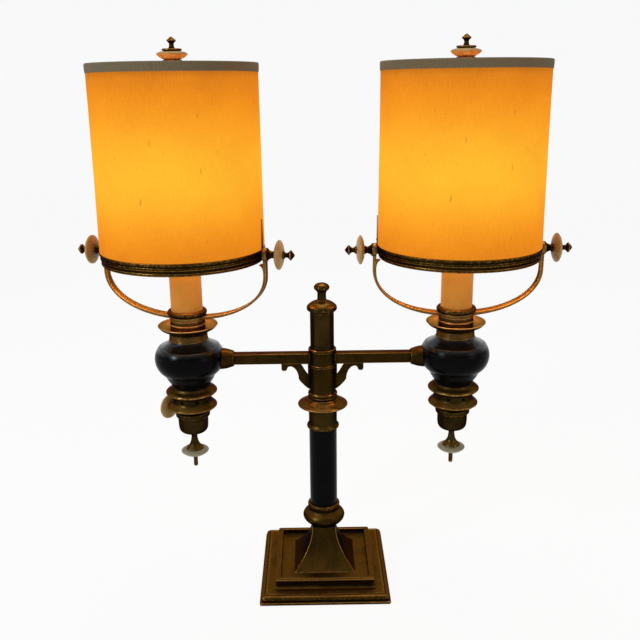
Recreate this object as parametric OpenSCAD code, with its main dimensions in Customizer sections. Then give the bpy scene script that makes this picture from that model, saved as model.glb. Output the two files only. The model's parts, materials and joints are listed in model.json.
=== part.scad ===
// Two-light desk lamp: a square bronze base, a black enamelled column, a swivelling arm and,
// at each end of the arm, an oil-lamp style font with a candle, a bulb and a tilting drum shade.
// Millimetres, +Z up, +X along the arm. The origin is the middle of the face that it stands on.

/* [Layout] */
// Distance between the axes of the two lamps
lamp_spacing = 300; // [270:5:340]
// Height of the arm's centre line above the foot of its sleeve
arm_rise = 47.7; // [42:0.1:56]
// Height of the shade pivots above the seat of the yoke
pivot_rise = 75.3; // [70:0.1:92]
// How far the shade pivots stand outside the shade's own radius
pivot_reach = 1.2; // [1:0.1:3]

/* [Base] */
// Side of the square base slab
slab_w = 150; // [130:1:180]
// Height of the base slab
slab_h = 10; // [9.5:0.5:16]
// Height of the flat plate at the slab's foot
plate_h = 3.1; // [2:0.1:4]
// Corner radius of that plate, seen from above
plate_corner = 2.5; // [1.5:0.5:5]
// Radius of the slab's rolled bead
bead_round = 3.2; // [2.6:0.1:3.6]
// How far the bead stands in from the edge of the plate
bead_set = 1; // [0.5:0.1:2]
// Width of the groove inside the bead
groove_w = 2.6; // [1.8:0.1:4]
// Depth of that groove
groove_depth = 0.9; // [0.4:0.1:1.3]
// Wall of the hollow slab
slab_wall = 6; // [4.5:0.5:9]
// Top thickness of the hollow slab
slab_top = 2.5; // [2:0.1:3]
// Thickness of the felt under the base
felt_t = 1.5; // [1:0.1:3]
// How far the felt stands proud of the slab's rim
felt_proud = 0.5; // [0.3:0.1:0.9]
// Side of the square plinth on the slab
plinth_w = 113.2; // [96:0.2:124]
// Height of the plinth
plinth_h = 12.5; // [10:0.5:18]
// How far the cove at the plinth's foot stands out
plinth_cove = 2.9; // [1.5:0.1:4]
// How far the plinth's lip stands out
plinth_lip = 0.8; // [0.5:0.1:2]
// Width of the frame round the sunk panel on the plinth
panel_frame = 5.1; // [3:0.1:8]
// Depth of the sunk panel
panel_depth = 6; // [2:0.5:7]
// Half width of the pyramid at its foot
pyramid_foot = 36; // [30:0.5:44]
// Half width of the pyramid at its top
pyramid_head = 14; // [12:0.5:18]
// Height of the pyramid
pyramid_h = 47; // [36:0.5:60]
// How strongly the pyramid's sides flare, 1 is straight
pyramid_flare = 2.1; // [1.2:0.05:2.6]
// Radius of the cord bushing's bore
cord_bore_r = 2.8; // [2.4:0.1:2.9]
// Wall of the cord bushing
bushing_wall = 0.9; // [0.7:0.1:1]
// Length of the cord bushing's barrel
bushing_len = 12; // [9:0.5:14]

/* [Column] */
// Outer radius of the black column
column_r = 16; // [14:0.1:18]
// Length of the black column that shows
column_h = 96; // [70:1:160]
// Wall of the black column
column_wall = 1.5; // [1:0.1:2.5]
// Height of the turned foot under the column, up to its lip
foot_h = 28; // [24:0.5:36]
// Radius of the ring round the turned foot
foot_ring_r = 24.8; // [22:0.1:30]
// Height of the ferrule and flange above the column
flange_h = 37.5; // [33:0.5:44]
// Radius of the knife-edged flange
flange_r = 28.7; // [24:0.1:34]
// Outer radius of the brass stem that the arm turns on
stem_r = 13.4; // [12.4:0.1:14.4]
// Length of the brass stem above the arm's sleeve
stem_free = 43.6; // [30:0.2:70]
// Wall of the brass stem
stem_wall = 1.5; // [1:0.1:2]
// Height of the domed cap on the stem
cap_h = 11.4; // [10.6:0.2:16]
// Radius of the domed cap
cap_r = 17; // [15.6:0.1:20]
// Radius of the turned knob on the cap
knob_r = 8.8; // [7:0.1:12]
// Height of the turned knob with its neck
knob_h = 20.2; // [16:0.2:26]
// Height of the flattened ball at its top
knob_ball_h = 10.6; // [8:0.2:12]
// Outer radius of the hollow rod that ties the column together
rod_r = 6.5; // [5.5:0.1:6.9]
// Bore radius of the hollow rod
rod_bore_r = 4.5; // [3.5:0.1:4.9]

/* [Arm] */
// Side of the square arm tube
arm_w = 12; // [10:0.2:14]
// Wall of the arm tube
arm_wall = 1.5; // [1:0.1:2]
// Outer radius of the arm's sleeve
sleeve_r = 14.7; // [14.6:0.1:16.4]
// Length of the arm's sleeve
sleeve_h = 59.4; // [58:0.2:74]
// Length of each ferrule beyond the widest radius of the font
ferrule_len = 11; // [8:0.5:16]
// Radius of the ferrule where it meets the font
ferrule_r = 11.6; // [10:0.1:14]
// How far each bracket reaches along the arm from the sleeve
bracket_reach = 32; // [26:0.5:40]
// How far each bracket reaches down the sleeve
bracket_drop = 33; // [28:0.5:36]
// Thickness of the bracket plates
bracket_t = 4; // [2.5:0.5:6]
// Radius of the wires in the arm
wire_r = 2.2; // [1.5:0.1:2.4]
// How far the arm turns each way
swivel_max = 60; // [30:5:60]

/* [Font] */
// Largest radius of the black font
font_r = 39; // [35:0.5:45]
// Radius of the font's waist
waist_r = 21.6; // [20:0.1:25]
// Height of the font above its widest place
font_up = 13.3; // [11:0.5:18]
// Height of the font below its widest place
font_down = 33.5; // [31:0.5:40]
// Wall of the font
font_wall = 1.6; // [1:0.1:2.5]
// How far the font's widest place stands above the arm's centre line
font_lift = 2; // [0:0.5:4]
// Height of the brass neck
neck_h = 17.8; // [15:0.2:24]
// Smallest radius of the brass neck
neck_r = 20.8; // [19:0.1:24]
// Radius of the drip pan's rim
pan_r = 33.3; // [29:0.1:38]
// Depth of the drip pan
pan_depth = 8.4; // [7:0.1:11]
// Height of the boss in the drip pan
boss_h = 14.6; // [11:0.1:18]
// Radius of that boss and of the collar above it
collar_r = 19.3; // [18.6:0.1:22]
// Height of the yoke's hub
hub_h = 4; // [3.6:0.1:6]
// Height of the collar under the candle
collar_h = 6.6; // [6.3:0.1:12]
// Radius of the collar's lip
lip_r = 22; // [20.6:0.1:26]
// Radius of the knife-edged rings under the font
ring_r = 28.6; // [26:0.1:34]
// Height of the pierced band with its two rings
band_h = 31; // [28:0.5:38]
// Radius of the pierced band
band_r = 22.3; // [20:0.1:25]
// Number of vent holes
vent_count = 8; // [4:1:12]
// Radius of a vent hole
vent_r = 1.6; // [1:0.1:2.4]
// Height of the rounded cup under the band
cup_h = 27; // [24:0.5:34]
// Radius of the rounded cup
cup_r = 16.5; // [14.5:0.1:19]
// Length of the trumpet under the cup
trumpet_h = 19.6; // [14:0.2:28]
// Length of the pin under the lowest disc
pin_len = 14; // [8:0.5:24]
// Outer radius of the threaded pipe through the font
pipe_r = 4.8; // [4.5:0.1:5.5]
// Bore radius of that pipe
pipe_bore_r = 3.2; // [2.5:0.1:3.6]

/* [Candle and bulb] */
// Outer radius of the candle sleeve
candle_r = 17.5; // [16.6:0.1:19]
// Wall of the candle sleeve
candle_wall = 1.2; // [0.8:0.1:2]
// Length of the candle sleeve
candle_h = 77; // [60:1:84]
// How deep the candle sits in the collar
candle_seat = 3.2; // [2:0.1:5]
// Outer radius of the lamp holder
holder_r = 14.3; // [14.2:0.05:15]
// Length of the lamp holder
holder_h = 56; // [44:1:60]
// Radius of the bulb's screw cap
bulb_cap_r = 13; // [12.5:0.1:13.4]
// Length of the bulb's screw cap
bulb_cap_h = 24; // [20:0.5:27]
// Radius of the bulb's glass
bulb_r = 29; // [22:0.5:32]
// Length of the bulb's glass
bulb_h = 80; // [66:1:92]
// Wall of the bulb's glass
bulb_wall = 0.9; // [0.6:0.1:1.5]

/* [Yoke and shade] */
// How far the left yoke is turned on its lamp, seen from above
left_yoke_turn = -12; // [-20:1:20]
// Width of the yoke's strap
strap_w = 9; // [7:0.5:12]
// Thickness of the strap at its pivots
strap_t = 3.5; // [2.5:0.1:5]
// Straight length of the strap below each pivot
strap_leg = 22.5; // [16:0.5:30]
// Radius of the eye at each end of the strap
eye_r = 6; // [5:0.1:7.5]
// Radius of the pivot studs
stud_r = 2; // [1.6:0.1:2.6]
// Outer radius of the shade at its foot
shade_r = 88.4; // [80:0.2:100]
// How much smaller the shade's radius is at its top
shade_taper = 1.4; // [0:0.2:12]
// Height of the shade
shade_h = 190; // [150:1:230]
// Thickness of the shade
shade_t = 1.2; // [0.8:0.1:2]
// Height of the braid round the top of the shade
braid_h = 9; // [6:0.5:14]
// How far the braid stands out
braid_t = 1.1; // [0.6:0.1:1.6]
// Height of the gallery ring
gallery_h = 13.5; // [12:0.5:18]
// How far below the shade's foot the pivots lie
pivot_drop = 5.5; // [3:0.1:7]
// Width of the gallery ring's inner ledge
gallery_ledge = 3.8; // [3:0.1:6]
// Height of the lip inside the shade's foot
spigot_h = 4; // [2.5:0.1:7]
// Length of the tongue that rises from each pivot
tongue_h = 38; // [18:1:44]
// Wire radius of the spider in the shade's top
spider_wire_r = 1.4; // [1:0.1:2]
// How far the shade tilts each way
tilt_max = 20; // [10:1:25]

/* [Discs and finials] */
// Radius of the ivory discs
disc_r = 16; // [13:0.1:18]
// Thickness of the ivory discs at their middle
disc_t = 8.8; // [6:0.1:11]
// Radius of the metal spindle through each disc
spindle_r = 2.4; // [2:0.1:3]
// Length of the trumpet between the yoke and a knob's disc
knob_stem_h = 9.2; // [8.6:0.1:14]
// Length of the pointed tip outside a knob's disc
knob_tip_h = 12.8; // [11:0.2:18]
// Height of the inverted cup under the top disc
finial_cup_h = 3.2; // [2.6:0.1:8]
// Height of the washer and spear above the top disc
spear_h = 13.8; // [10:0.2:20]
// Radius of the switch knob's disc
switch_disc_r = 14.5; // [11:0.1:18]
// Radius of the switch shaft
switch_shaft_r = 2.2; // [1.6:0.1:2.3]
// Direction of the switch shaft, seen from above
switch_angle = 145; // [120:5:150]

/* [Fits] */
// Running clearance round a pin that turns
running_gap = 0.05; // [0.02:0.01:0.1]
// Gap between pieces that are put together loosely
loose_gap = 0.3; // [0.2:0.05:0.5]
// Gap between two faces that slide past each other
face_gap = 0.3; // [0.2:0.05:0.5]

/* [Hidden] */
$fn = 96;

// Directions of the two lamps along X
left = -1;
right = 1;
// Direction, seen from its lamp, of the knob on the far side from the column and on the near side
outer = 1;
inner = -1;
far = 500;
eps = 0.01;

// Finishes
bronze = [0.42, 0.30, 0.13];
brass = [0.62, 0.45, 0.20];
black = [0.06, 0.06, 0.07];
ivory = [0.80, 0.68, 0.48];
iron = [0.33, 0.33, 0.34];
linen = [0.93, 0.74, 0.40];

// Heights of the base and column, from the table up
slab_z = felt_proud;
plinth_z = slab_z + slab_h;
panel_z = plinth_z + plinth_h - panel_depth;
foot_z = panel_z + pyramid_h;
column_z = foot_z + foot_h;
flange_z = column_z + column_h;
sleeve_z = flange_z + flange_h + face_gap;
stem_z = flange_z + 12;
stem_top = sleeve_z + sleeve_h + stem_free;
knob_z = stem_top + cap_h;
cavity_w = slab_w - 2 * slab_wall;
cavity_corner = 4;
plinth_corner = 1;
weight_h = plinth_z - slab_top - felt_t;
nut_r = 11.5;
nut_h = 5;
column_seat = 6;
spigot_len = 6;
cap_spigot = 6;
rod_gap = loose_gap;
rod_z = felt_t;
rod_top = stem_top + cap_h / 2;
knob_peg_r = 3;
knob_peg_h = 4;
arm_z = sleeve_z + arm_rise;
arm_low = arm_z - arm_w / 2;
wire_z = arm_low + arm_wall + wire_r + running_gap;
barrel_r = cord_bore_r + bushing_wall;
bushing_z = felt_t + barrel_r + loose_gap / 2;

// Heights of a lamp, from its font
font_z = arm_z + font_lift;
neck_z = font_z + font_up;
pan_z = neck_z + neck_h;
yoke_z = pan_z + boss_h;
collar_z = yoke_z + hub_h;
candle_z = collar_z + collar_h - candle_seat;
pivot_z = yoke_z + pivot_rise;
band_z = font_z - font_down - band_h;
cup_z = band_z - cup_h;
trumpet_z = cup_z - trumpet_h;
drop_disc_z = trumpet_z - disc_t;
candle_top = candle_z + candle_h;
bulb_z = candle_top - 30;
holder_top = bulb_z + bulb_cap_h;
holder_z = holder_top - holder_h;
pipe_z = cup_z + 3;

// The shade and its gallery, from the pivots
gallery_top = pivot_z + pivot_drop;
gallery_z = gallery_top - gallery_h;
shade_top = gallery_top + shade_h;
shade_head_r = shade_r - shade_taper;
spigot_r = shade_r - shade_t - loose_gap;
gallery_in_r = shade_r - gallery_ledge;
pad_x = shade_r + pivot_reach;
strap_in = pad_x + face_gap;
strap_out = strap_in + strap_t;
knob_x = strap_out + face_gap;
knob_disc_x = knob_x + knob_stem_h;
knob_tip_x = knob_disc_x + disc_t;
stud_len = knob_stem_h - 2.8;
spider_z = shade_top - 4.5;
spider_r = shade_head_r - shade_t - loose_gap - spider_wire_r;
spider_hub_r = 7;
finial_z = shade_top + 0.6;
finial_disc_z = finial_z + finial_cup_h;
washer_z = finial_disc_z + disc_t;
spider_arms = [90, 210, 330];

// The font's swelling: an arc of radius bulge_arc about a circle of radius bulge_mid
bulge_arc = 22;
bulge_mid = font_r - bulge_arc;
bulge_top_angle = asin(font_up / bulge_arc);
bulge_low_angle = -58;

// The switch, in the bead at the top of the left lamp's cup
bead_h = 5.4;
bead_r = cup_r + 3.1;
switch_z = band_z - 3.4;
cup_wall = 1.6;
switch_block = [9, 11, 10];
switch_block_out = cup_r - cup_wall - 0.6;
switch_disc_x = ring_r + 4.2;
switch_tip_x = switch_disc_x + disc_t;
switch_shaft_in = switch_block_out - 3;
// Top of the switch's body, from the shaft's height
switch_top = band_z - switch_z - loose_gap;

function arc(cx, cy, r, a0, a1, n) =
    [for (i = [0:n]) [cx + r * cos(a0 + (a1 - a0) * i / n), cy + r * sin(a0 + (a1 - a0) * i / n)]];

function raised(points, dz) = [for (p = points) [p[0], p[1] + dz]];

function grown(points, d) = [for (p = points) [p[0] + d, p[1]]];

function mirrored(points) = [for (i = [len(points) - 1:-1:0]) [-points[i][0], points[i][1]]];

// A turned solid: the outline is a list of radius and height, closed along the axis
module turned(outline) {
    first = outline[0];
    last = outline[len(outline) - 1];
    rotate_extrude() polygon(concat([[0, first[1]]], outline, [[0, last[1]]]));
}

module bore(r, z0, z1) {
    translate([0, 0, z0]) cylinder(r = r, h = z1 - z0);
}

module at_lamp(side) {
    translate([side * lamp_spacing / 2, 0, 0]) children();
}

// A yoke and what it carries can be turned on its lamp before the collar is screwed down
module at_yoke(side) {
    at_lamp(side) rotate([0, 0, side == left ? left_yoke_turn : 0]) children();
}

module rounded_square(w, r) {
    square([w, w - 2 * r], center = true);
    square([w - 2 * r, w], center = true);
    for (x = [-1, 1], y = [-1, 1])
        translate([x * (w / 2 - r), y * (w / 2 - r)]) circle(r = r);
}

// A square block with rounded corners whose edge moulding runs all the way round.
// The moulding is a list of radius from the corner's own axis, and height.
module moulded_block(w, r, moulding) {
    c = w / 2 - r;
    side = grown(moulding, c);
    section = concat(side, mirrored(side));
    for (x = [-1, 1], y = [-1, 1])
        translate([x * c, y * c, 0]) turned(moulding);
    rotate([90, 0, 0]) linear_extrude(2 * c, center = true) polygon(section);
    rotate([90, 0, 90]) linear_extrude(2 * c, center = true) polygon(section);
}

// An ivory disc, thick in the middle with a blunt edge, with a bore for its spindle
module ivory_disc(r) {
    edge = disc_t * 0.22;
    half = disc_t / 2;
    difference() {
        turned([[r * 0.32, 0], [r * 0.55, half * 0.08], [r * 0.78, half * 0.34],
            [r * 0.93, half * 0.62], [r * 0.99, half - edge / 2], [r, half],
            [r * 0.99, half + edge / 2], [r * 0.93, half * 1.38], [r * 0.78, half * 1.66],
            [r * 0.55, half * 1.92], [r * 0.32, disc_t]]);
        bore(spindle_r + loose_gap / 3, -1, disc_t + 1);
    }
}

module base_felt() {
    color([0.10, 0.16, 0.11])
    linear_extrude(felt_t) rounded_square(cavity_w - 2 * loose_gap, cavity_corner);
}

// The sharp plate at the slab's foot
function plate_moulding() = raised([[plate_corner - 0.4, 0], [plate_corner, 0.4],
    [plate_corner, plate_h - 0.3], [plate_corner - 0.3, plate_h]], slab_z);

// The rolled bead above the plate and the groove inside it. The groove ends near the corner's axis.
function bead_moulding(r) = let (roll_x = r - bead_set - bead_round, roll_z = slab_h - bead_round)
    raised(concat([[roll_x + bead_round * 0.5, plate_h - 0.5]],
        arc(roll_x, roll_z, bead_round, -60, 105, 11),
        [[roll_x - groove_w * 0.5, slab_h - groove_depth],
         [roll_x - groove_w * 0.85, slab_h - groove_depth],
         [roll_x - groove_w, slab_h]]), slab_z);

module bushing_hole() {
    translate([0, slab_w / 2 - bushing_len - 1, bushing_z])
        rotate([-90, 0, 0]) cylinder(r = barrel_r + running_gap, h = bushing_len + 2);
}

module base_slab() {
    bead_corner = bead_set + bead_round + groove_w + 0.2;
    color(bronze)
    difference() {
        union() {
            moulded_block(slab_w, plate_corner, plate_moulding());
            moulded_block(slab_w, bead_corner, bead_moulding(bead_corner));
        }
        translate([0, 0, slab_z - 1])
            linear_extrude(slab_h - slab_top + 1) rounded_square(cavity_w, cavity_corner);
        bore(rod_r + rod_gap, slab_z, plinth_z + 1);
        bushing_hole();
    }
}

// The cord's way through the weight: a channel from the back wall to the rod
module base_weight() {
    channel_w = 2 * (barrel_r + loose_gap);
    color(iron)
    difference() {
        translate([0, 0, felt_t])
            linear_extrude(weight_h) rounded_square(cavity_w - 2 * loose_gap, cavity_corner);
        bore(rod_r + rod_gap, felt_t - 1, plinth_z);
        bore(nut_r + 1.5, felt_t - 1, felt_t + nut_h + loose_gap);
        translate([-channel_w / 2, 0, felt_t - 1]) cube([channel_w, slab_w, weight_h + 2]);
    }
}

module cord_bushing() {
    color(black)
    translate([0, slab_w / 2 + eps, bushing_z])
    rotate([-90, 0, 0])
    difference() {
        union() {
            translate([0, 0, -bushing_len]) cylinder(r = barrel_r, h = bushing_len + 0.5);
            turned([[barrel_r + 0.9, 0], [barrel_r + 0.9, 0.8], [barrel_r + 0.2, 1.6]]);
        }
        bore(cord_bore_r, -bushing_len - 1, 2);
    }
}

// A hollow cove at the foot, a plain face, a lip and a step in
function plinth_moulding() = let (face = plinth_corner, cove_h = 3.2) raised(concat(
    [[face + plinth_cove, 0]],
    [for (a = [0:18:90]) [face + plinth_cove * (1 - sin(a)), 0.8 + cove_h * (1 - cos(a))]],
    [[face, plinth_h - 3], [face + plinth_lip, plinth_h - 2.5],
     [face + plinth_lip, plinth_h - 1.5], [face + plinth_lip - 1.5, plinth_h - 1.2],
     [face + plinth_lip - 1.5, plinth_h]]), plinth_z);

function flared_side(n) = [for (i = [0:n])
    [pyramid_head + (pyramid_foot - pyramid_head) * pow(1 - i / n, pyramid_flare),
     panel_z + pyramid_h * i / n]];

module flared_pyramid() {
    side = concat([[pyramid_foot, panel_z - 1]], flared_side(14));
    section = concat(side, mirrored(side));
    intersection() {
        rotate([90, 0, 0]) linear_extrude(3 * pyramid_foot, center = true) polygon(section);
        rotate([90, 0, 90]) linear_extrude(3 * pyramid_foot, center = true) polygon(section);
    }
}

module base_pedestal() {
    panel_w = plinth_w - 2 * panel_frame;
    color(bronze)
    difference() {
        union() {
            difference() {
                moulded_block(plinth_w, plinth_corner, plinth_moulding());
                translate([-panel_w / 2, -panel_w / 2, panel_z])
                    cube([panel_w, panel_w, panel_depth + 1]);
            }
            flared_pyramid();
        }
        bore(rod_r + rod_gap, plinth_z - 1, foot_z + 1);
    }
}

function foot_outline() = raised([[foot_ring_r - 9.3, 0],
    [foot_ring_r - 8.6, 1.4], [foot_ring_r - 5.8, 3], [foot_ring_r - 2.8, 5.3],
    [foot_ring_r - 0.8, 8], [foot_ring_r, 11],
    [foot_ring_r - 0.4, 13], [foot_ring_r - 2, 15.6], [foot_ring_r - 5.2, 18.4],
    [18.3, 20], [17.8, 21], [18.2, 22.4], [column_r + 2.8, 24.4], [column_r + 3, 25.6],
    [column_r + 2.6, foot_h - 1], [column_r + 1.6, foot_h]], foot_z);

module column_foot() {
    color(bronze)
    difference() {
        turned(foot_outline());
        bore(rod_r + rod_gap, foot_z - 1, column_z + 1);
        bore(column_r + loose_gap, column_z - column_seat, column_z + 1);
    }
}

module column_tube() {
    color(black)
    difference() {
        bore(column_r, column_z - column_seat, flange_z);
        bore(column_r - column_wall, column_z - column_seat - 1, flange_z + 1);
    }
}

function flange_outline() = raised([[column_r + 0.4, 0], [column_r + 1.8, 0.6],
    [column_r + 2.6, 2.2], [column_r + 2.6, 3.6], [column_r + 1.8, 5], [column_r + 0.6, 6.2],
    [column_r + 0.2, 8], [column_r + 0.3, 24], [18.6, 25.4],
    [flange_r - 3.6, 27.2], [flange_r - 0.5, 28.6], [flange_r, 29.6], [flange_r - 0.5, 30.6],
    [flange_r - 3, 31.9], [20.6, 34.2], [18, flange_h]], flange_z);

module column_flange() {
    color(brass)
    difference() {
        union() {
            turned(flange_outline());
            bore(column_r - column_wall - loose_gap, flange_z - spigot_len, flange_z + eps);
        }
        bore(rod_r + rod_gap, flange_z - spigot_len - 1, stem_z + 1);
        bore(stem_r + loose_gap / 3, stem_z, sleeve_z + 1);
    }
}

// The stem that the arm turns on, with a window each side for the wires
module stem_tube() {
    window_half = swivel_max + 12;
    color(brass)
    difference() {
        bore(stem_r, stem_z, stem_top);
        bore(stem_r - stem_wall, stem_z - 1, stem_top + 1);
        for (turn = [0, 180])
            rotate([0, 0, turn]) translate([0, 0, wire_z - wire_r - 2])
                linear_extrude(2 * wire_r + 4)
                    polygon([[0, 0], [far * cos(window_half), -far * sin(window_half)],
                        [far, -far], [far, far], [far * cos(window_half), far * sin(window_half)]]);
    }
}

function cap_outline() = raised([[cap_r - 1.4, 0], [cap_r - 0.1, 1.6], [cap_r, 3.4],
    [cap_r - 0.5, 5.4], [cap_r - 2.4, cap_h * 0.64], [cap_r - 5.4, cap_h * 0.83],
    [cap_r - 8.4, cap_h * 0.94], [6.4, cap_h]], stem_top);

module stem_cap() {
    color(brass)
    difference() {
        union() {
            turned(cap_outline());
            bore(stem_r - stem_wall - loose_gap, stem_top - cap_spigot, stem_top + eps);
        }
        bore(rod_r + running_gap, stem_top - cap_spigot - 1, rod_top);
        bore(knob_peg_r + running_gap, rod_top, knob_z + 1);
    }
}

module stem_knob() {
    neck = 5;
    ball_z = knob_z + knob_h - knob_ball_h;
    half = knob_ball_h / 2;
    color(brass) {
        turned(concat([[neck + 1.2, knob_z], [neck, knob_z + 1.4], [neck - 0.2, ball_z - 1.2],
            [neck + 0.4, ball_z]],
            [for (a = [-50:15:70]) [knob_r * cos(a), ball_z + half + half * sin(a)]],
            [[0.5, ball_z + knob_ball_h]]));
        bore(knob_peg_r, knob_z - knob_peg_h, knob_z + eps);
    }
}

// The hollow rod from the nut under the base to the cap
module tie_rod() {
    color(iron)
    difference() {
        union() {
            bore(rod_r, rod_z, rod_top - loose_gap);
            translate([0, 0, rod_z]) cylinder(r = nut_r, h = nut_h, $fn = 6);
        }
        bore(rod_bore_r, rod_z - 1, rod_top + 1);
        translate([-wire_r, -far, wire_z - wire_r - 1]) cube([2 * wire_r, far, 2 * wire_r + 2]);
    }
}

function sleeve_outline() = raised([[sleeve_r + 1.6, 0], [sleeve_r + 2.2, 1],
    [sleeve_r + 2.2, 2.2], [sleeve_r + 1.4, 3.2], [sleeve_r, 3.8],
    [sleeve_r, sleeve_h * 0.55], [sleeve_r + 0.8, sleeve_h * 0.555],
    [sleeve_r + 1, sleeve_h * 0.58], [sleeve_r + 0.8, sleeve_h * 0.605],
    [sleeve_r, sleeve_h * 0.61], [sleeve_r, sleeve_h - 4.2], [sleeve_r + 0.9, sleeve_h - 3.6],
    [sleeve_r + 1.3, sleeve_h - 2], [sleeve_r + 0.9, sleeve_h - 0.5],
    [sleeve_r + 0.3, sleeve_h]], sleeve_z);

module arm_sleeve() {
    color(bronze)
    difference() {
        turned(sleeve_outline());
        bore(stem_r + running_gap, sleeve_z - 1, sleeve_z + sleeve_h + 1);
        translate([-far / 2, 0, wire_z]) rotate([0, 90, 0])
            cylinder(r = wire_r + 0.8, h = far);
    }
}

// What the pieces at the end of the arm are cut back by, so that they fit the font's curve
module font_clearance() {
    gap = loose_gap / 2;
    at_lamp(right) turned(grown(font_outline(), gap));
}

module both_sides() {
    children();
    mirror([1, 0, 0]) children();
}

module arm_tubes() {
    hollow = arm_w - 2 * arm_wall;
    reach = lamp_spacing / 2 - font_r + 4;
    color(bronze)
    both_sides()
    difference() {
        translate([0, -arm_w / 2, arm_low]) cube([reach, arm_w, arm_w]);
        translate([-1, -hollow / 2, arm_z - hollow / 2]) cube([reach + 2, hollow, hollow]);
        bore(sleeve_r + running_gap, arm_low - 1, arm_z + arm_w);
        font_clearance();
    }
}

module arm_ferrules() {
    small = arm_w / sqrt(2) + 1;
    inset = 6;
    length = ferrule_len + inset;
    color(bronze)
    both_sides()
    difference() {
        translate([lamp_spacing / 2 - font_r + inset, 0, arm_z]) rotate([0, -90, 0])
            turned([[ferrule_r, 0], [ferrule_r, inset], [ferrule_r - 0.3, inset + 1.4],
                [ferrule_r - 1.4, inset + 2.6], [small + 0.5, length * 0.62],
                [small, length * 0.78], [small, length - 2.2], [small + 0.7, length - 1.8],
                [small + 0.7, length - 0.4], [small + 0.3, length]]);
        translate([0, -arm_w / 2 - running_gap, arm_low - running_gap])
            cube([lamp_spacing, arm_w + 2 * running_gap, arm_w + 2 * running_gap]);
        font_clearance();
    }
}

// One bracket plate: a tab at its end, a hollow arch, a cusp, and a pierced corner by the sleeve
module bracket_outline() {
    x0 = sleeve_r - 1;
    tab = 4;
    reach = sleeve_r + bracket_reach;
    cusp_x = sleeve_r + bracket_reach * 0.37;
    cusp_z = bracket_drop * 0.55;
    arch_x = reach - tab;
    arch = [for (a = [0:15:90]) [cusp_x + (arch_x - cusp_x) * (1 - cos(a)),
        -cusp_z + (cusp_z - 3) * sin(a)]];
    hole = bracket_drop * 0.4;
    difference() {
        polygon(concat([[x0, 0], [x0, -bracket_drop], [sleeve_r + 1.6, -bracket_drop],
            [cusp_x - 6, -bracket_drop * 0.86], [cusp_x - 2.4, -bracket_drop * 0.72],
            [cusp_x - 0.4, -cusp_z - 1.4]], arch, [[arch_x, -7.5], [reach, -7.5], [reach, 0]]));
        polygon([[sleeve_r + 2, -1.6], [sleeve_r + 1.8 + hole * 0.66, -1.6],
            [sleeve_r + 2.6 + hole * 0.25, -hole * 0.66], [sleeve_r + 2, -hole - 1.6]]);
    }
}

module arm_brackets() {
    color(bronze)
    both_sides()
    difference() {
        translate([0, bracket_t / 2, arm_low]) rotate([90, 0, 0])
            linear_extrude(bracket_t) bracket_outline();
        bore(sleeve_r + running_gap, sleeve_z, arm_z);
        translate([0, 0, sleeve_z + sleeve_h * 0.58 - 2.2]) cylinder(r = sleeve_r + 1.1, h = 4.4);
    }
}

module arm_wiring() {
    start = sleeve_r + 0.6;
    finish = lamp_spacing / 2 - pipe_r - loose_gap;
    color([0.30, 0.22, 0.12])
    both_sides()
        translate([start, 0, wire_z]) rotate([0, 90, 0]) cylinder(r = wire_r, h = finish - start);
}

// The font's outline from its waist to its shoulder
function font_outline() = concat(
    [[waist_r, font_z - font_down], [waist_r, font_z - font_down + 4.2],
     [waist_r + 1, font_z - font_down + 7.6], [waist_r + 2.8, font_z - font_down + 10]],
    arc(bulge_mid, font_z, bulge_arc, bulge_low_angle, bulge_top_angle, 12));

function font_hollow() = concat(
    [[waist_r - font_wall, font_z - font_down + font_wall],
     [waist_r - font_wall, font_z - font_down + 4.6],
     [waist_r + 1 - font_wall, font_z - font_down + 8],
     [waist_r + 2.4 - font_wall, font_z - font_down + 10.6]],
    arc(bulge_mid, font_z, bulge_arc - font_wall, bulge_low_angle, bulge_top_angle - 3, 10));

module font_body(side) {
    color(black)
    at_lamp(side)
    difference() {
        turned(font_outline());
        turned(font_hollow());
        bore(pipe_r + loose_gap, band_z, pan_z);
        translate([0, 0, wire_z]) rotate([0, side * -90, 0])
            cylinder(r = wire_r + 1, h = font_r + 1);
    }
}

function neck_outline() = raised([[31.6, 0], [31.2, 1.4], [29, 2.5], [25, 4.7],
    [neck_r + 1.4, 7.2], [neck_r + 0.2, 9.7], [neck_r, 11.7], [neck_r + 0.3, neck_h - 3.6],
    [neck_r + 1.8, neck_h]], neck_z);

module font_neck(side) {
    wall = 1.6;
    color(brass)
    at_lamp(side)
    difference() {
        turned(neck_outline());
        turned([[neck_r + 5, neck_z - 1], [neck_r + 5, neck_z + 1.6],
            [neck_r - wall, neck_z + 6.4], [neck_r - wall, pan_z - wall]]);
        bore(pipe_r + loose_gap, neck_z, pan_z + 1);
    }
}

function pan_outline() = raised([[neck_r + 1.8, 0], [24, 1.2], [pan_r - 3.3, 3.9],
    [pan_r, pan_depth - 0.7], [pan_r - 0.7, pan_depth], [pan_r - 1.6, pan_depth - 1],
    [pan_r - 4.4, 4.8], [collar_r + 1.6, 2.4], [collar_r, 2], [collar_r, pan_depth],
    [collar_r + 1, pan_depth + 0.4], [collar_r + 1, pan_depth + 1.6], [collar_r, pan_depth + 2],
    [collar_r, boss_h]], pan_z);

module drip_pan(side) {
    color(brass)
    at_lamp(side)
    difference() {
        turned(pan_outline());
        bore(pipe_r + loose_gap, pan_z - 1, yoke_z + 1);
    }
}

function collar_outline() = raised([[collar_r, 0], [collar_r, collar_h - 6],
    [lip_r - 1.5, collar_h - 5.4], [lip_r, collar_h - 3.8], [lip_r, collar_h - 1.6],
    [lip_r - 1.4, collar_h]], collar_z);

module collar(side) {
    color(brass)
    at_lamp(side)
    difference() {
        turned(collar_outline());
        bore(pipe_r + loose_gap, collar_z - 1, candle_z + 1);
        bore(candle_r + loose_gap, candle_z, collar_z + collar_h + 1);
    }
}

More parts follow.
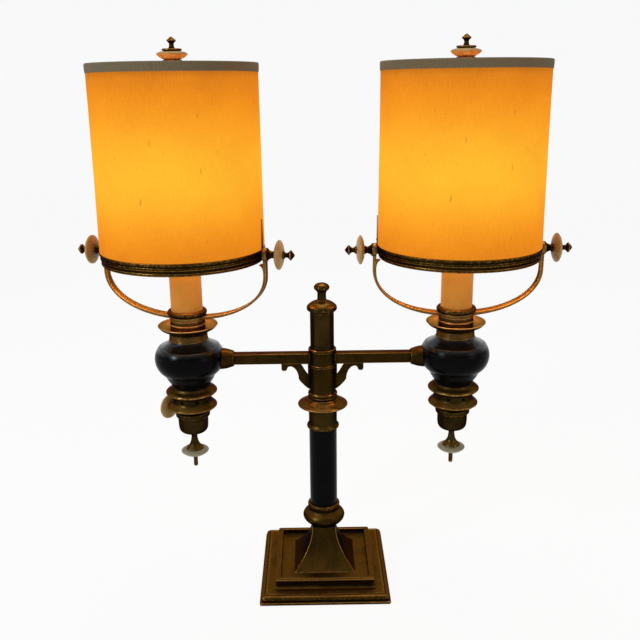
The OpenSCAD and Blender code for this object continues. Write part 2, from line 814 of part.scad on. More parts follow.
// Half of the strap's curve, from the bottom to the start of the straight leg
function strap_curve(a, b, power, n) = [for (i = [0:n])
    let (t = 90 * i / n) [a * pow(sin(t), 2 / power), -b * pow(cos(t), 2 / power)]];

module strap_outline() {
    spring_z = pivot_z - strap_leg;
    drop = spring_z - yoke_z;
    outside = concat(strap_curve(strap_out, drop, 2.1, 18), [[strap_out, strap_leg]]);
    inside = concat(strap_curve(strap_in, drop - hub_h, 2.2, 18), [[strap_in, strap_leg]]);
    translate([0, spring_z])
    difference() {
        polygon(concat(outside, mirrored(outside)));
        polygon(concat(inside, mirrored(inside)));
        translate([-strap_in, strap_leg - eps]) square([2 * strap_in, 1]);
    }
}

module yoke(side) {
    color(bronze)
    at_yoke(side)
    difference() {
        union() {
            rotate([90, 0, 0]) linear_extrude(strap_w, center = true) strap_outline();
            bore(collar_r + 0.2, yoke_z, collar_z);
            for (x = [-strap_out, strap_in])
                translate([x, 0, pivot_z]) rotate([0, 90, 0]) cylinder(r = eye_r, h = strap_t);
        }
        bore(pipe_r + loose_gap, yoke_z - 1, collar_z + 1);
        bore(lip_r + 1, collar_z, collar_z + collar_h);
        translate([-far / 2, 0, pivot_z]) rotate([0, 90, 0])
            cylinder(r = stud_r + running_gap, h = far);
    }
}

module candle_sleeve(side) {
    color([0.80, 0.58, 0.30])
    at_lamp(side)
    difference() {
        bore(candle_r, candle_z, candle_top);
        bore(candle_r - candle_wall, candle_z - 1, candle_top + 1);
    }
}

// The lamp holder on the pipe that draws the whole lamp together
module lamp_holder(side) {
    color([0.20, 0.18, 0.16])
    at_lamp(side)
    difference() {
        union() {
            bore(pipe_r, pipe_z, holder_z + 4);
            turned(raised([[pipe_r + 3, 0], [holder_r - 2, 2], [holder_r, 7],
                [holder_r, holder_h - 0.6], [holder_r - 0.4, holder_h]], holder_z));
        }
        bore(bulb_cap_r + loose_gap, bulb_z, holder_top + 1);
        bore(pipe_bore_r, pipe_z - 1, bulb_z - 3);
        translate([0, 0, wire_z]) rotate([0, side * -90, 0])
            cylinder(r = wire_r, h = pipe_r + 1);
    }
}

function bulb_outline(d) = let (ball_z = holder_top + bulb_h - bulb_r) concat(
    [[bulb_cap_r - 0.4 - d, holder_top + d], [bulb_cap_r + 0.4 - d, holder_top + 7],
     [bulb_cap_r + 2.6 - d, holder_top + 14]],
    arc(0, ball_z, bulb_r - d, -46, 88, 16));

module bulb(side) {
    color([0.98, 0.86, 0.62, 0.6])
    at_lamp(side) {
        difference() {
            turned(bulb_outline(0));
            turned(bulb_outline(bulb_wall));
        }
        turned(raised([[3.4, 0], [5, 1.4], [bulb_cap_r - 1.4, 4], [bulb_cap_r, 5],
            [bulb_cap_r, bulb_cap_h - 1], [bulb_cap_r - 0.4, bulb_cap_h]], bulb_z));
    }
}

function band_outline() = raised([[bead_r, 0], [band_r - 0.8, 1.5], [ring_r - 0.6, 6.4],
    [ring_r - 0.3, 7.2], [ring_r - 0.6, 8], [band_r, 13.5], [band_r, band_h - 11.8],
    [band_r + 0.7, band_h - 10.4], [ring_r - 1.1, band_h - 8.6], [ring_r + 0.4, band_h - 7],
    [ring_r + 0.4, band_h - 5.8], [ring_r - 1.1, band_h - 4.2], [waist_r + 1.4, band_h - 2.5],
    [waist_r, band_h]], band_z);

module vent_band(side) {
    wall = 1.8;
    inside = min(band_r, waist_r) - wall;
    vent_z = band_z + (13.5 + band_h - 11.8) / 2;
    color(brass)
    at_lamp(side)
    difference() {
        turned(band_outline());
        bore(inside, band_z + 2, band_z + band_h - 2);
        bore(pipe_r + loose_gap, band_z - 1, band_z + band_h + 1);
        for (i = [0:vent_count - 1])
            translate([0, 0, vent_z]) rotate([0, 90, 360 / vent_count * (i + 0.5)])
                cylinder(r = vent_r, h = band_r + 2);
    }
}

function cup_outline() = raised([[5, 0], [cup_r - 5.8, 1.6], [cup_r - 2.4, 4.4],
    [cup_r - 0.5, 8], [cup_r, 12.5], [cup_r + 0.1, cup_h - bead_h - 1],
    [bead_r - 0.4, cup_h - bead_h], [bead_r, cup_h - bead_h + 1], [bead_r, cup_h - 1],
    [bead_r - 0.4, cup_h]], cup_z);

module lower_cup(side) {
    color(brass)
    at_lamp(side)
    difference() {
        turned(cup_outline());
        bore(cup_r - cup_wall, cup_z + 9, band_z - 2);
        bore(pipe_r + loose_gap, pipe_z - loose_gap, band_z + 1);
        if (side == left)
            translate([0, 0, switch_z]) rotate([0, 90, switch_angle])
                cylinder(r = switch_shaft_r + running_gap, h = far);
        if (side == left)
            translate([0, 0, switch_z]) rotate([0, 0, switch_angle])
                translate([0, -switch_block[1] / 2 - loose_gap,
                    switch_top - switch_block[2] - 2])
                    cube([switch_block_out + running_gap, switch_block[1] + 2 * loose_gap,
                        switch_block[2] + 6]);
    }
}

module trumpet(side) {
    at_lamp(side) {
        turned(raised([[10, 0], [9.6, 1], [6.6, 3.6], [4.4, 7.6], [3.5, 13], [3.4, 16],
            [4.2, trumpet_h - 0.8], [5, trumpet_h]], trumpet_z));
        bore(spindle_r, drop_disc_z - pin_len, trumpet_z + eps);
        turned(raised([[1.4, 0], [spindle_r, 1]], drop_disc_z - pin_len - 1));
    }
}

module drop_trumpets() {
    color(brass)
    for (side = [left, right])
        trumpet(side);
}

module drop_discs() {
    color(ivory)
    for (side = [left, right])
        at_lamp(side) translate([0, 0, drop_disc_z]) ivory_disc(disc_r);
}

// Lays the switch's own axis, +Z outwards, along its direction from the left lamp's axis
module along_switch() {
    at_lamp(left) translate([0, 0, switch_z]) rotate([0, 90, switch_angle]) children();
}

module switch_body() {
    color([0.20, 0.13, 0.08])
    difference() {
        at_lamp(left) translate([0, 0, switch_z]) rotate([0, 0, switch_angle])
            translate([switch_block_out - switch_block[0], -switch_block[1] / 2,
                switch_top - switch_block[2]])
                cube([switch_block[0], switch_block[1], switch_block[2]]);
        along_switch() bore(switch_shaft_r + running_gap, switch_shaft_in - loose_gap, far / 10);
    }
}

module switch_shaft() {
    color(brass)
    along_switch() {
        bore(switch_shaft_r, switch_shaft_in, bead_r + 1);
        turned([[switch_shaft_r + 0.8, bead_r + face_gap], [switch_shaft_r + 0.8, bead_r + 1.4],
            [switch_shaft_r, bead_r + 2.4], [switch_shaft_r, switch_disc_x - 4],
            [4, switch_disc_x - 1], [5, switch_disc_x]]);
        bore(spindle_r, switch_disc_x - eps, switch_tip_x + eps);
        turned(knob_tip(switch_tip_x));
    }
}

module switch_disc() {
    color(ivory)
    along_switch() translate([0, 0, switch_disc_x]) ivory_disc(switch_disc_r);
}

// The tip outside a knob's disc: a washer, a neck and a pointed bud
function knob_tip(z) = let (h = knob_tip_h) raised([[4.4, 0], [4.6, 0.8], [3.2, 1.8],
    [2.6, 3], [2.6, h - 7.4], [3.4, h - 6.6], [5.2, h - 5.2], [5.5, h - 4], [4.6, h - 2.2],
    [2.2, h - 0.6], [0.5, h]], z);

function gallery_outline() = let (r = shade_r, h = gallery_h) raised([[r - 1.8, 0],
    [r - 1.1, 0.8], [r - 1.1, h * 0.2], [r - 1.9, h * 0.26], [r - 1.5, h * 0.38],
    [r - 0.3, h * 0.46], [r - 0.3, h * 0.62], [r - 0.9, h * 0.7], [r + 0.5, h * 0.82],
    [r + 0.6, h * 0.94], [r + 0.2, h]], gallery_z);

module gallery_ring(side) {
    leaf = 1;
    leaf_w = 8.5;
    color(bronze)
    at_yoke(side) {
        difference() {
            turned(gallery_outline());
            bore(gallery_in_r, gallery_z - 1, gallery_top + 1);
        }
        difference() {
            bore(spigot_r, gallery_top - eps, gallery_top + spigot_h);
            bore(gallery_in_r, gallery_top - 1, gallery_top + spigot_h + 1);
        }
        for (turn = [0, 180])
            rotate([0, 0, turn]) {
                difference() {
                    translate([gallery_in_r + 1, 0, pivot_z]) rotate([0, 90, 0])
                        cylinder(r = eye_r - 1.2, h = pad_x - gallery_in_r - 1);
                    bore(shade_r + loose_gap, gallery_top - eps, shade_top);
                }
                translate([gallery_in_r + 1, 0, pivot_z]) rotate([0, 90, 0])
                    cylinder(r = stud_r, h = knob_x + stud_len - gallery_in_r - 1);
                translate([pad_x - leaf + 0.1, 0, pivot_z]) rotate([90, 0, 90])
                    linear_extrude(leaf - 0.1)
                        polygon([[-leaf_w / 2, 1], [leaf_w / 2, 1], [leaf_w * 0.42, 6],
                            [leaf_w * 0.16, tongue_h * 0.6], [0.5, tongue_h],
                            [-0.5, tongue_h], [-leaf_w * 0.16, tongue_h * 0.6],
                            [-leaf_w * 0.42, 6]]);
            }
    }
}

// The drum, with the thicker band of the braid round its top
module shade(side) {
    neck = shade_head_r + shade_taper * braid_h / shade_h;
    color(linen)
    at_lamp(side)
    difference() {
        turned([[shade_r, gallery_top + eps], [neck, shade_top - braid_h],
            [neck + braid_t * 0.7, shade_top - braid_h + 0.6],
            [shade_head_r + braid_t, shade_top - braid_h * 0.5],
            [shade_head_r + braid_t, shade_top + 0.3], [shade_head_r + 0.3, shade_top + 0.6],
            [shade_head_r - shade_t / 2, shade_top + 0.6]]);
        turned([[shade_r - shade_t + eps, gallery_top - 1],
            [shade_head_r - shade_t, shade_top + 1]]);
    }
}

module shade_spider(side) {
    reach = spider_r - spider_hub_r + 2;
    color(brass)
    at_yoke(side)
    difference() {
        union() {
            translate([0, 0, spider_z]) rotate_extrude()
                translate([spider_r, 0]) circle(r = spider_wire_r, $fn = 24);
            for (a = spider_arms)
                rotate([0, 0, a]) translate([spider_hub_r - 2, 0, spider_z]) rotate([0, 90, 0])
                    cylinder(r = spider_wire_r * 0.9, h = reach);
            turned([[spider_hub_r - 1, spider_z - 3], [spider_hub_r, spider_z - 2],
                [spider_hub_r, finial_z - 1], [spider_hub_r - 1, finial_z]]);
        }
        bore(spindle_r + running_gap, spider_z - 4, finial_z + 1);
    }
}

module finial(side) {
    top = washer_z + spear_h;
    color(bronze)
    at_lamp(side) {
        turned([[5.3, finial_z], [5.3, finial_z + 0.6], [6.6, finial_z + finial_cup_h * 0.4],
            [9.4, finial_z + finial_cup_h * 0.75], [9.9, finial_disc_z]]);
        bore(spindle_r, spider_z - 2, washer_z + eps);
        turned([[9.6, washer_z], [10.2, washer_z + 0.6], [10.2, washer_z + 1.4],
            [9.2, washer_z + 2], [3.4, washer_z + 2.6], [2.5, washer_z + 3.6],
            [2.5, washer_z + spear_h * 0.44], [4, washer_z + spear_h * 0.66],
            [4, washer_z + spear_h * 0.72], [2.4, washer_z + spear_h * 0.86], [0.5, top]]);
    }
}

module finial_disc(side) {
    color(ivory)
    at_lamp(side) translate([0, 0, finial_disc_z]) ivory_disc(disc_r);
}

// Lays a knob's own axis, +Z outwards, along the pivot of the shade on one side of a lamp
module along_pivot(side, place) {
    at_yoke(side) translate([0, 0, pivot_z]) rotate([0, side * place * 90, 0]) children();
}

module pivot_knob(side, place) {
    color(bronze)
    along_pivot(side, place)
    difference() {
        union() {
            turned([[eye_r + 0.2, knob_x], [eye_r + 0.2, knob_x + 1], [4.4, knob_x + 2.4],
                [3.4, knob_x + knob_stem_h * 0.5], [3.5, knob_x + knob_stem_h * 0.72],
                [5.2, knob_disc_x]]);
            bore(spindle_r, knob_disc_x - eps, knob_tip_x + eps);
            turned(knob_tip(knob_tip_x));
        }
        bore(stud_r + running_gap, knob_x - 1, knob_x + stud_len + loose_gap);
    }
}

module pivot_disc(side, place) {
    color(ivory)
    along_pivot(side, place) translate([0, 0, knob_disc_x]) ivory_disc(disc_r);
}

base_felt();
base_slab();
base_pedestal();
base_weight();
cord_bushing();
column_foot();
column_tube();
column_flange();
stem_tube();
stem_cap();
stem_knob();
tie_rod();
arm_sleeve();
arm_tubes();
arm_brackets();
arm_ferrules();
arm_wiring();
font_body(left);  // left_font_body
font_neck(left);  // left_font_neck
drip_pan(left);  // left_drip_pan
collar(left);  // left_collar
yoke(left);  // left_yoke
candle_sleeve(left);  // left_candle_sleeve
lamp_holder(left);  // left_lamp_holder
bulb(left);  // left_bulb
vent_band(left);  // left_vent_band
lower_cup(left);  // left_lower_cup
font_body(right);  // right_font_body
font_neck(right);  // right_font_neck
drip_pan(right);  // right_drip_pan
collar(right);  // right_collar
yoke(right);  // right_yoke
candle_sleeve(right);  // right_candle_sleeve
lamp_holder(right);  // right_lamp_holder
bulb(right);  // right_bulb
vent_band(right);  // right_vent_band
lower_cup(right);  // right_lower_cup
drop_trumpets();
drop_discs();
switch_body();
switch_shaft();
switch_disc();
gallery_ring(left);  // left_gallery_ring
shade(left);  // left_shade
shade_spider(left);  // left_shade_spider
finial(left);  // left_finial
finial_disc(left);  // left_finial_disc
gallery_ring(right);  // right_gallery_ring
shade(right);  // right_shade
shade_spider(right);  // right_shade_spider
finial(right);  // right_finial
finial_disc(right);  // right_finial_disc
pivot_knob(left, outer);  // left_outer_knob
pivot_disc(left, outer);  // left_outer_disc
pivot_knob(left, inner);  // left_inner_knob
pivot_disc(left, inner);  // left_inner_disc
pivot_knob(right, outer);  // right_outer_knob
pivot_disc(right, outer);  // right_outer_disc
pivot_knob(right, inner);  // right_inner_knob
pivot_disc(right, inner);  // right_inner_disc
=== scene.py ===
"""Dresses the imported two-light desk lamp for its picture.

Turned and cast brass, black enamel, ivory discs, candle sleeves and lit linen shades are built
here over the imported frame. Sizes in the classes are millimetres, as a maker writes them, and
the places come from the frame's own nodes and joints.
"""

import json
import logging
import math
from dataclasses import dataclass, field
from enum import Enum
from typing import Any, Sequence

import bmesh
import bpy
from mathutils import Matrix, Vector, noise

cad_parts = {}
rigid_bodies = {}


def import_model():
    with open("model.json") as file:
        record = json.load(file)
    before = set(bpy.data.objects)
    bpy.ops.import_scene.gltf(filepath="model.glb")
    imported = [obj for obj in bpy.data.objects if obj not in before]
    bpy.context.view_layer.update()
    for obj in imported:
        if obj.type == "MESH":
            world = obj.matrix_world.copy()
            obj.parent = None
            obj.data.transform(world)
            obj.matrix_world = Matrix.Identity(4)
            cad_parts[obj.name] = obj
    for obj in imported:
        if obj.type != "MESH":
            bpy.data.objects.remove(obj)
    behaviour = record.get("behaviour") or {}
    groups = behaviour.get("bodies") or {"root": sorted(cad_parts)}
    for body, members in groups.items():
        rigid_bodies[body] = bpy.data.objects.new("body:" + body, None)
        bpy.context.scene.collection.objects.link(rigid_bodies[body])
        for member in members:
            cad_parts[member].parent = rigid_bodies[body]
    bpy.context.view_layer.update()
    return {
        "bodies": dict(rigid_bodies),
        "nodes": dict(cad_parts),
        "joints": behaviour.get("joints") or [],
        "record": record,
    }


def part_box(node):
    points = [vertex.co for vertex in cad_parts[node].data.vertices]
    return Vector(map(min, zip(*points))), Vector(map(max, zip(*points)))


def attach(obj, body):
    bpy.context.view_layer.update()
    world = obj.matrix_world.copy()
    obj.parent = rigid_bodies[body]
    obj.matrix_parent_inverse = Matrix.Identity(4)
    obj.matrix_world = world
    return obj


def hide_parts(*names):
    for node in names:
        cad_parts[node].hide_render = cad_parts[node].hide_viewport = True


MM = 0.001
LOG = logging.getLogger("desk_lamp")

Outline = Sequence[tuple[float, ...]]
Colour = tuple[float, float, float]
Object = bpy.types.Object
Socket = bpy.types.NodeSocket


class Finish(Enum):
    """The record's material slots."""

    BRONZE = "bronze"
    OLD_BRASS = "old_brass"
    ENAMEL = "black_enamel"
    IVORY = "ivory"
    IRON = "iron"
    STEEL = "steel"
    FELT = "felt"
    RUBBER = "bushing_rubber"
    WIRE = "wire_cover"
    CANDLE = "candle_card"
    RESIN = "holder_resin"
    BULB = "bulb_glass"
    LINEN = "shade_linen"


class Side(Enum):
    """The two lamps, named as the frame names them."""

    LEFT = "left"
    RIGHT = "right"

    @property
    def sign(self) -> int:
        """Which way along X the lamp stands from the column."""
        return -1 if self is Side.LEFT else 1

    def node(self, name: str) -> str:
        """The name of this lamp's own node or body."""
        return f"{self.value}_{name}"


class Place(Enum):
    """The two knobs of a lamp: away from the column, and beside it."""

    OUTER = "outer"
    INNER = "inner"


# Outlines and shapes


def softened(corners: Outline, fillet: float = 0.8, closed: bool = False) -> list[Vector]:
    """Rounds the corners of an outline with short curves.

    Args:
        corners: Radius and height of each corner, then its own fillet where it has one.
        fillet: How far along each side a corner's rounding starts.
        closed: Whether the last corner joins the first.
    Returns:
        The points of the rounded outline.
    """
    points = [Vector(corner[:2]) for corner in corners]
    count = len(points)
    rounded: list[Vector] = []
    for index, (corner, given) in enumerate(zip(points, corners)):
        if not closed and index in (0, count - 1):
            rounded.append(corner)
            continue
        before = points[index - 1] - corner
        after = points[(index + 1) % count] - corner
        own = given[2] if len(given) > 2 else fillet
        reach = min(own, before.length / 2, after.length / 2)
        start = corner + before.normalized() * reach
        end = corner + after.normalized() * reach
        steps = 5 if reach > 1 else 3
        for step in range(steps + 1):
            t = step / steps
            rounded.append(start * (1 - t) ** 2 + corner * 2 * t * (1 - t) + end * t ** 2)
    kept = rounded[:1]
    for point in rounded[1:]:
        if (point - kept[-1]).length > 0.01:
            kept.append(point)
    if closed and (kept[0] - kept[-1]).length < 0.01:
        kept.pop()
    return kept


def divided(points: Sequence[Vector], longest: float, closed: bool = False) -> list[Vector]:
    """Splits the long stretches of an outline, apart from those that run to the axis.

    Args:
        points: The outline's points.
        longest: The longest stretch to leave whole.
        closed: Whether the last point joins the first.
    Returns:
        The outline with the extra points.
    """
    ends = list(points[1:]) + ([points[0]] if closed else [])
    result: list[Vector] = []
    for a, b in zip(points, ends):
        capped = min(abs(a.x), abs(b.x)) < 1e-6
        parts = 1 if capped else max(1, math.ceil((b - a).length / longest))
        result += [a.lerp(b, part / parts) for part in range(parts)]
    if not closed:
        result.append(points[-1])
    return result


def arc(x: float, z: float, radius: float, first: float, last: float, steps: int) -> list:
    """The points of an arc.

    Args:
        x: Distance of its centre from the axis.
        z: Height of its centre.
        radius: Its radius.
        first: Its first angle in degrees.
        last: Its last angle in degrees.
        steps: The number of stretches.
    Returns:
        Pairs of radius and height.
    """
    angles = [math.radians(first + (last - first) * k / steps) for k in range(steps + 1)]
    return [(x + radius * math.cos(a), z + radius * math.sin(a)) for a in angles]


def rounded_rectangle(half_u: float, half_v: float, corner: float, steps: int = 4,
                      stops: Sequence[float] = ()) -> list:
    """The points of a rectangle with rounded corners, counter-clockwise.

    Args:
        half_u: Half its width.
        half_v: Half its height.
        corner: The radius of its corners.
        steps: Stretches in each corner.
        stops: Further points along each side, as parts of its length.
    Returns:
        Pairs of coordinates.
    """
    corners = []
    for quarter, (u, v) in enumerate(((1, 1), (-1, 1), (-1, -1), (1, -1))):
        middle = Vector((u * (half_u - corner), v * (half_v - corner)))
        angles = [math.radians(90 * (quarter + step / steps)) for step in range(steps + 1)]
        corners.append([middle + corner * Vector((math.cos(a), math.sin(a))) for a in angles])
    points = []
    for index, bend in enumerate(corners):
        following = corners[(index + 1) % 4][0]
        points += [tuple(point) for point in bend]
        points += [tuple(bend[-1].lerp(following, stop)) for stop in stops]
    return points


def at(x: float = 0.0, y: float = 0.0, z: float = 0.0, turn: float = 0.0) -> Matrix:
    """A place in millimetres, turned about the vertical by an angle in radians."""
    return Matrix.Translation((x, y, z)) @ Matrix.Rotation(turn, 4, "Z")


def facing(axis: Sequence[float]) -> Matrix:
    """The turn that lays a shape's own Z along an axis, with its X level."""
    along = Vector(axis).normalized()
    level = Vector((0, 0, 1)).cross(along)
    level = level.normalized() if level.length > 1e-6 else Vector((1, 0, 0))
    return Matrix((level, along.cross(level), along)).transposed().to_4x4()


class Shape:
    """A piece's mesh while it is being made, in millimetres."""

    side_stops = (0.015, 0.05, 0.14, 0.28, 0.42, 0.58, 0.72, 0.86, 0.95, 0.985)

    def __init__(self) -> None:
        """Starts an empty shape."""
        self.mesh = bmesh.new()
        self.along = self.mesh.verts.layers.float.new("along")
        self.station = self.mesh.verts.layers.int.new("station")
        self.flat = self.mesh.verts.layers.int.new("flat")

    def _settle(self, known: set, place: Matrix, merge: bool = True) -> list:
        """Closes, turns outwards and places what was added since a moment.

        Args:
            known: The vertices that were there before.
            place: Where the new part goes.
            merge: Whether points that coincide become one.
        Returns:
            The new vertices.
        """
        new = [vert for vert in self.mesh.verts if vert not in known]
        if merge:
            bmesh.ops.remove_doubles(self.mesh, verts=new, dist=1e-4)
            new = [vert for vert in self.mesh.verts if vert not in known]
        faces = list({face for vert in new for face in vert.link_faces})
        bmesh.ops.recalc_face_normals(self.mesh, faces=faces)
        bmesh.ops.transform(self.mesh, matrix=place, verts=new)
        return new

    def turn(self, outline: Outline, place: Matrix = Matrix(), fillet: float = 0.8,
             closed: bool = False, columns: int = 96, longest: float = 2.0,
             sweep: float = 360.0) -> list:
        """Turns an outline round its own Z axis, as on a lathe.

        Args:
            outline: Radius and height of each corner, from one end of the axis to the other.
            place: Where the turning goes.
            fillet: The rounding of its corners.
            closed: Whether the outline is a loop that stays clear of the axis.
            columns: Stretches round the axis.
            longest: The longest stretch along the outline.
            sweep: How far round it goes, in degrees.
        Returns:
            The new vertices.
        """
        corners = list(outline)
        if not closed and corners[0][0] > 0:
            corners.insert(0, (0.0, corners[0][1]))
        if not closed and corners[-1][0] > 0:
            corners.append((0.0, corners[-1][1]))
        points = divided(softened(corners, fillet, closed), longest, closed)
        known = set(self.mesh.verts)
        travelled = 0.0
        made = []
        for index, point in enumerate(points):
            travelled += (point - points[index - 1]).length if index else 0.0
            vert = self.mesh.verts.new((point.x, 0.0, point.y))
            vert[self.along] = travelled
            made.append(vert)
        pairs = zip(made, made[1:] + (made[:1] if closed else []))
        edges = [self.mesh.edges.new(pair) for pair in pairs if pair[0] is not pair[1]]
        whole = sweep >= 360
        spun = bmesh.ops.spin(self.mesh, geom=made + edges, cent=(0, 0, 0), axis=(0, 0, 1),
                              angle=math.radians(sweep), steps=columns, use_merge=whole)
        if closed and not whole:
            last = [part for part in spun["geom_last"] if isinstance(part, bmesh.types.BMEdge)]
            for rim in (edges, last):
                bmesh.ops.edgeloop_fill(self.mesh, edges=rim)
        return self._settle(known, place)

    def draw(self, rings: Sequence[Sequence[Vector]], place: Matrix = Matrix()) -> list:
        """Draws a closed ring of points up through a list of rings and caps both ends.

        Args:
            rings: Rings of the same number of points.
            place: Where the result goes.
        Returns:
            The new vertices.
        """
        known = set(self.mesh.verts)
        made = [self.mesh.verts.new(point) for point in rings[0]]
        for index, vert in enumerate(made):
            vert[self.station] = index
        edges = [self.mesh.edges.new(pair) for pair in zip(made, made[1:] + made[:1])]
        bmesh.ops.edgeloop_fill(self.mesh, edges=edges)
        for ring in rings[1:]:
            grown = bmesh.ops.extrude_edge_only(self.mesh, edges=edges)["geom"]
            fresh = {part for part in grown if isinstance(part, bmesh.types.BMVert)}
            for vert in fresh:
                vert.co = ring[vert[self.station]]
            edges = [part for part in grown if isinstance(part, bmesh.types.BMEdge)
                     and all(vert in fresh for vert in part.verts)]
        bmesh.ops.edgeloop_fill(self.mesh, edges=edges)
        return self._settle(known, place, merge=False)

    def draw_square(self, rows: Sequence[tuple[float, float, float]]) -> list:
        """Draws a square with rounded corners up through its rows.

        Args:
            rows: Half width, corner radius and height of each row.
        Returns:
            The new vertices.
        """
        return self.draw([[Vector((x, y, z)) for x, y in
                           rounded_rectangle(half, half, corner, 6, self.side_stops)]
                          for half, corner, z in rows])

    def cut_plate(self, outline: Outline, thickness: float, place: Matrix,
                  hole: Outline = (), soft: float = 0.3) -> list:
        """Cuts a flat plate, drawn in its own X and Y, with its thickness along Z.

        Args:
            outline: The corners of its edge.
            thickness: How thick it is.
            place: Where it goes.
            hole: The corners of a hole through it.
            soft: The rounding of its edges.
        Returns:
            The new vertices.
        """
        known = set(self.mesh.verts)
        rims = []
        for loop in (outline, hole):
            made = [self.mesh.verts.new((x, y, 0.0)) for x, y in loop]
            rims += [self.mesh.edges.new(pair) for pair in zip(made, made[1:] + made[:1])]
        filled = bmesh.ops.triangle_fill(self.mesh, edges=rims, use_beauty=True)["geom"]
        faces = [part for part in filled if isinstance(part, bmesh.types.BMFace)]
        raised = bmesh.ops.extrude_face_region(self.mesh, geom=faces)["geom"]
        top = [part for part in raised if isinstance(part, bmesh.types.BMVert)]
        bmesh.ops.translate(self.mesh, vec=(0, 0, thickness), verts=top)
        self._soften_edges(known, soft)
        return self._settle(known, place)

    def lay_bar(self, low: Sequence[float], high: Sequence[float], soft: float) -> list:
        """Lays a straight bar between two corners.

        Args:
            low: Its lowest corner.
            high: Its highest corner.
            soft: The rounding of its edges.
        Returns:
            The new vertices.
        """
        known = set(self.mesh.verts)
        size = Vector(high) - Vector(low)
        middle = (Vector(high) + Vector(low)) / 2
        scaled = Matrix.Translation(middle) @ Matrix.Diagonal((*size, 1.0))
        bmesh.ops.create_cube(self.mesh, size=1.0, matrix=scaled)
        self._soften_edges(known, soft)
        return self._settle(known, Matrix())

    def _soften_edges(self, known: set, soft: float) -> None:
        """Bevels the sharp edges of what was added since a moment.

        Args:
            known: The vertices that were there before.
            soft: The width of the bevel.
        """
        new = [vert for vert in self.mesh.verts if vert not in known]
        faces = list({face for vert in new for face in vert.link_faces})
        bmesh.ops.recalc_face_normals(self.mesh, faces=faces)
        sharp = [edge for edge in {edge for vert in new for edge in vert.link_edges}
                 if len(edge.link_faces) == 2 and edge.calc_face_angle(0.0) > 0.7]
        bmesh.ops.bevel(self.mesh, geom=sharp, offset=soft, segments=2, profile=0.5,
                        affect="EDGES", material=-1, clamp_overlap=True)
        self.mesh.normal_update()
        for vert in self.mesh.verts:
            if vert not in known:
                vert[self.flat] = any(max(map(abs, face.normal)) > 0.9999
                                      for face in vert.link_faces)

    def _mark_edges(self) -> None:
        """Writes how sharply each point stands out or lies in, for wear, tarnish and painted
        shade.
        """
        edge_layer = self.mesh.verts.layers.float.new("edge")
        self.mesh.normal_update()
        for vert in self.mesh.verts:
            bend = 0.0
            links = 0
            for edge in vert.link_edges:
                step = edge.other_vert(vert).co - vert.co
                if step.length > 1e-4:
                    bend -= step.normalized().dot(vert.normal) / max(step.length, 0.25)
                    links += 1
            bend = 0.0 if vert[self.flat] else 2.4 * bend / max(links, 1)
            vert[edge_layer] = max(-1.0, min(1.0, bend))

    def finish(self, name: str) -> Object:
        """Turns the shape into an object at the origin, in metres.

        Args:
            name: The piece's name.
        Returns:
            The finished object.
        """
        self._mark_edges()
        for edge in self.mesh.edges:
            edge.smooth = len(edge.link_faces) != 2 or edge.calc_face_angle(0.0) < 0.62
        for face in self.mesh.faces:
            face.smooth = True
        bmesh.ops.scale(self.mesh, vec=(MM, MM, MM), verts=self.mesh.verts)
        mesh = bpy.data.meshes.new(name)
        self.mesh.to_mesh(mesh)
        self.mesh.free()
        piece = bpy.data.objects.new(name, mesh)
        bpy.context.scene.collection.objects.link(piece)
        return piece


# Finishes


